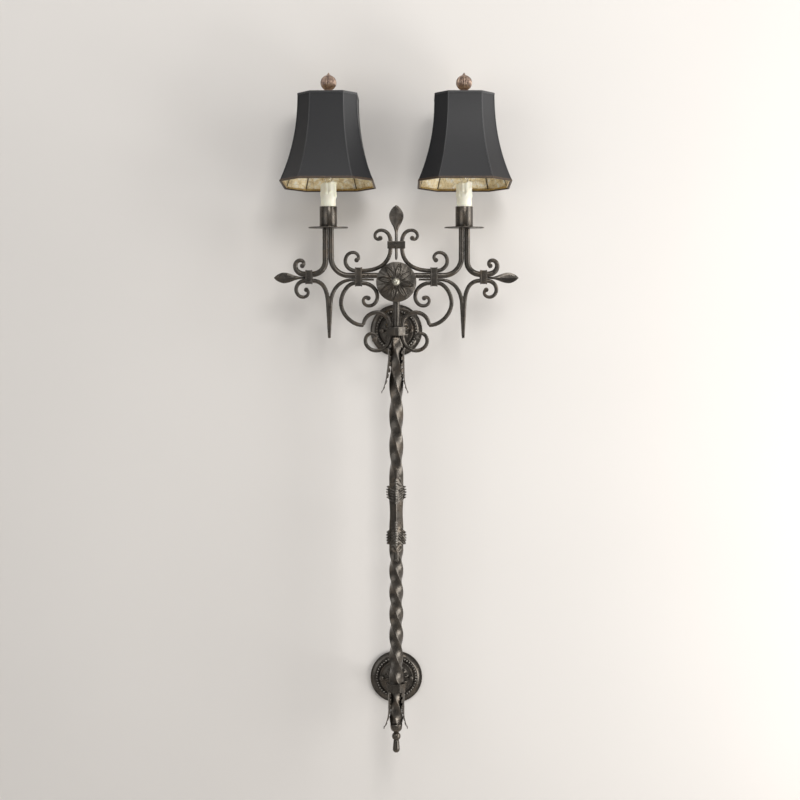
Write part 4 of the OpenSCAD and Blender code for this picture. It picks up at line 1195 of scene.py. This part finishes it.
class SCONCE_OT_shades(bpy.types.Operator):
    """Covers, lines and trims the shades, and dresses their frames and clips"""
    bl_idname = "sconce.shades"
    bl_label = "Shades"

    inside = COVER_T + LINING_T
    # Creases of the leaf: how many to the metre, and how deep.
    crease_scale, crease_depth = 70, 0.0006
    seam_t, seam_stand, inner_seam_stand, inner_seam_wide = 0.0003, 0.00035, 0.0012, 0.0018
    # How far the seams' tape stays from the shade's foot and top, as a share of its height.
    seam_gap = 0.012
    fold_t, fold_stand = 0.0004, 0.0006

    def cover(self, side):
        node = side + "_shade_cover"
        shade_piece(sheet_of(node + "_satin", PANELS * 6, 36, shade_point, COVER_T), side, 18,
                    black_satin, "black_satin", node)

    def lining(self, side):
        node = side + "_shade_lining"

        def place(u, v):
            point = shade_point(u, v, COVER_T + 0.0001)
            crease = noise.fractal(point * self.crease_scale, 0.9, 2.2, 3) * self.crease_depth
            outward = Vector((point.x, point.y, 0)).normalized()
            from_rims = min(1, 12 * min(v, 1 - v))
            return point - outward * (abs(crease) * from_rims)

        shade_piece(sheet_of(node + "_leaf", PANELS * 16, 90, place, LINING_T), side, 30,
                    gold_leaf, "gold_leaf_lining", node)

    def seams(self, side, name, inset, wide, make):
        """Tape down each corner seam."""
        strips = []
        for corner in range(PANELS):
            def place(u, v, corner=corner):
                corners = shade_plan(self.seam_gap + (1 - 2 * self.seam_gap) * v, inset)
                here = corners[corner]
                nearer = corners[(corner + (1 if u > 0.5 else -1)) % PANELS]
                along = (nearer - here).normalized()
                return here + along * abs(u - 0.5) * wide
            strips.append(sheet_of(f"{side}_seam_{corner}", 4, 36, place, self.seam_t, False))

        shade_piece(joined(strips, f"{side}_shade_{name}"), side, 40, make, "black_satin")

    def rim(self, side, name, t, make):
        """A tape folded over a rim: down its outside, round its edge and up its inside."""
        wide = sizes().tape_width / SHADE_H
        inner = self.inside + 0.0004
        down = 1 if t < 0.5 else -1
        past = t - down * self.fold_stand / SHADE_H
        fold = [(t + down * wide, -0.0005), (t, -self.fold_stand), (past, 0.0), (past, inner),
                (t, inner + 0.0002), (t + down * wide * 0.8, inner + 0.0001)]

        def place(u, v):
            step = v * (len(fold) - 1)
            first = min(int(step), len(fold) - 2)
            part = step - first
            height = fold[first][0] * (1 - part) + fold[first + 1][0] * part
            inset = fold[first][1] * (1 - part) + fold[first + 1][1] * part
            return shade_point(u, height, inset)

        shade_piece(sheet_of(f"{side}_{name}", PANELS * 6, 10, place, self.fold_t, False), side,
                    30, make, "black_satin")

    def metal(self, side):
        for node, name, body in ((side + "_shade_frame", side + "_shade_spider", "_shade"),
                                 (side + "_bulb_clip", side + "_bulb_clip_wire", "_clip")):
            finish_piece(eased_copy(node, name, 35), worn_brass, side + body, "brass_wire", node)

    def execute(self, context):
        for side in SIDES:
            self.cover(side)
            self.lining(side)
            self.seams(side, "seams", -self.seam_stand, sizes().tape_width * 0.8, trim_tape)
            self.seams(side, "inner_seams", self.inside + self.inner_seam_stand,
                       self.inner_seam_wide, rim_tape)
            self.rim(side, "foot_tape", 0.0, rim_tape)
            self.rim(side, "top_tape", 1.0, trim_tape)
            self.metal(side)
        return {"FINISHED"}


class SCONCE_OT_finials(bpy.types.Operator):
    """Turns the ribbed balls on top of the shades"""
    bl_idname = "sconce.finials"
    bl_label = "Finials"

    # Heights above the shade's pivot.
    seat, ball_z = 0.1206, 0.1526
    ball = 0.015
    groove, flattened = 0.11, 0.98
    # Radius and height above the seat, and radius and height above the ball's top.
    stem = ((0.0031, 0), (0.0075, 0), (0.0078, 0.0010), (0.0074, 0.0020), (0.0050, 0.0040),
            (0.0044, 0.0080), (0.0046, 0.0110), (0.0066, 0.0150), (0.0084, 0.0172),
            (0.0074, 0.0188))
    point = ((0.0032, -0.0008), (0.0034, 0.0002), (0.0022, 0.0014), (0.0014, 0.0030),
             (0.0008, 0.0040), (0.0, 0.0042))

    def execute(self, context):
        ribs = sizes().finial_ribs
        stem = [(r, self.seat + h) for r, h in self.stem]
        point = [(r, self.ball_z + self.ball + h) for r, h in self.point]

        def place(u, v):
            angle = u * TURN
            rise = -math.pi / 2 + math.pi * v
            rib = abs(math.sin(angle * ribs / 2)) ** 0.6
            r = self.ball * math.cos(rise) * (1 - self.groove + self.groove * rib)
            return Vector((r * math.cos(angle), r * math.sin(angle),
                           self.ball_z + self.ball * self.flattened * math.sin(rise)))

        for side in SIDES:
            melon = sheet_of(side + "_melon", ribs * 8, 32, place)
            foot = turned(side + "_finial_stem", stem, 48)
            end = turned(side + "_finial_point", point, 32)
            piece = joined([melon, foot, end], side + "_finial_ribbed")
            piece.data.transform(on_shade(side))
            smooth(piece, 35)
            finish_piece(piece, aged_copper, side + "_knob", "copper_finial", side + "_finial")
        return {"FINISHED"}


class SCONCE_OT_hidden_parts(bpy.types.Operator):
    """Gives the pieces behind and inside their finishes"""
    bl_idname = "sconce.hidden_parts"
    bl_label = "Hidden Parts"

    def execute(self, context):
        for node, make in (("upper_mount_disc", zinc_plate), ("lower_mount_disc", zinc_plate),
                           ("stem_nuts", zinc_plate), ("lamp_leads", black_rubber),
                           ("lamp_sockets", worn_brass)):
            mesh = frame["nodes"][node].data
            mesh.materials.clear()
            mesh.materials.append(finish(make))
        return {"FINISHED"}


STEPS = (SCONCE_OT_stage, SCONCE_OT_forged_bars, SCONCE_OT_shaft, SCONCE_OT_bands,
         SCONCE_OT_tubes, SCONCE_OT_side_leaves, SCONCE_OT_cast_leaves, SCONCE_OT_wall_plates,
         SCONCE_OT_rosette, SCONCE_OT_candles, SCONCE_OT_shades, SCONCE_OT_finials,
         SCONCE_OT_hidden_parts)


class SCONCE_PT_panel(bpy.types.Panel):
    """Lists the sizes, the colours and the steps"""
    bl_idname = "SCONCE_PT_panel"
    bl_label = "Torch Sconce"
    bl_space_type = "VIEW_3D"
    bl_region_type = "UI"
    bl_category = "Torch Sconce"

    def draw(self, context):
        for group in (context.scene.sconce_sizes, context.scene.sconce_colours):
            box = self.layout.box()
            for key in group.__annotations__:
                box.prop(group, key)
        for step in STEPS:
            self.layout.operator(step.bl_idname)


CLASSES = (SconceSizes, SconceColours, *STEPS, SCONCE_PT_panel)


def register():
    for cls in CLASSES:
        bpy.utils.register_class(cls)
    bpy.types.Scene.sconce_sizes = bpy.props.PointerProperty(type=SconceSizes)
    bpy.types.Scene.sconce_colours = bpy.props.PointerProperty(type=SconceColours)


def unregister():
    del bpy.types.Scene.sconce_colours
    del bpy.types.Scene.sconce_sizes
    for cls in reversed(CLASSES):
        bpy.utils.unregister_class(cls)


def main():
    register()
    for step in STEPS:
        group, name = step.bl_idname.split(".")
        getattr(getattr(bpy.ops, group), name)()


if __name__ == "__main__":
    main()
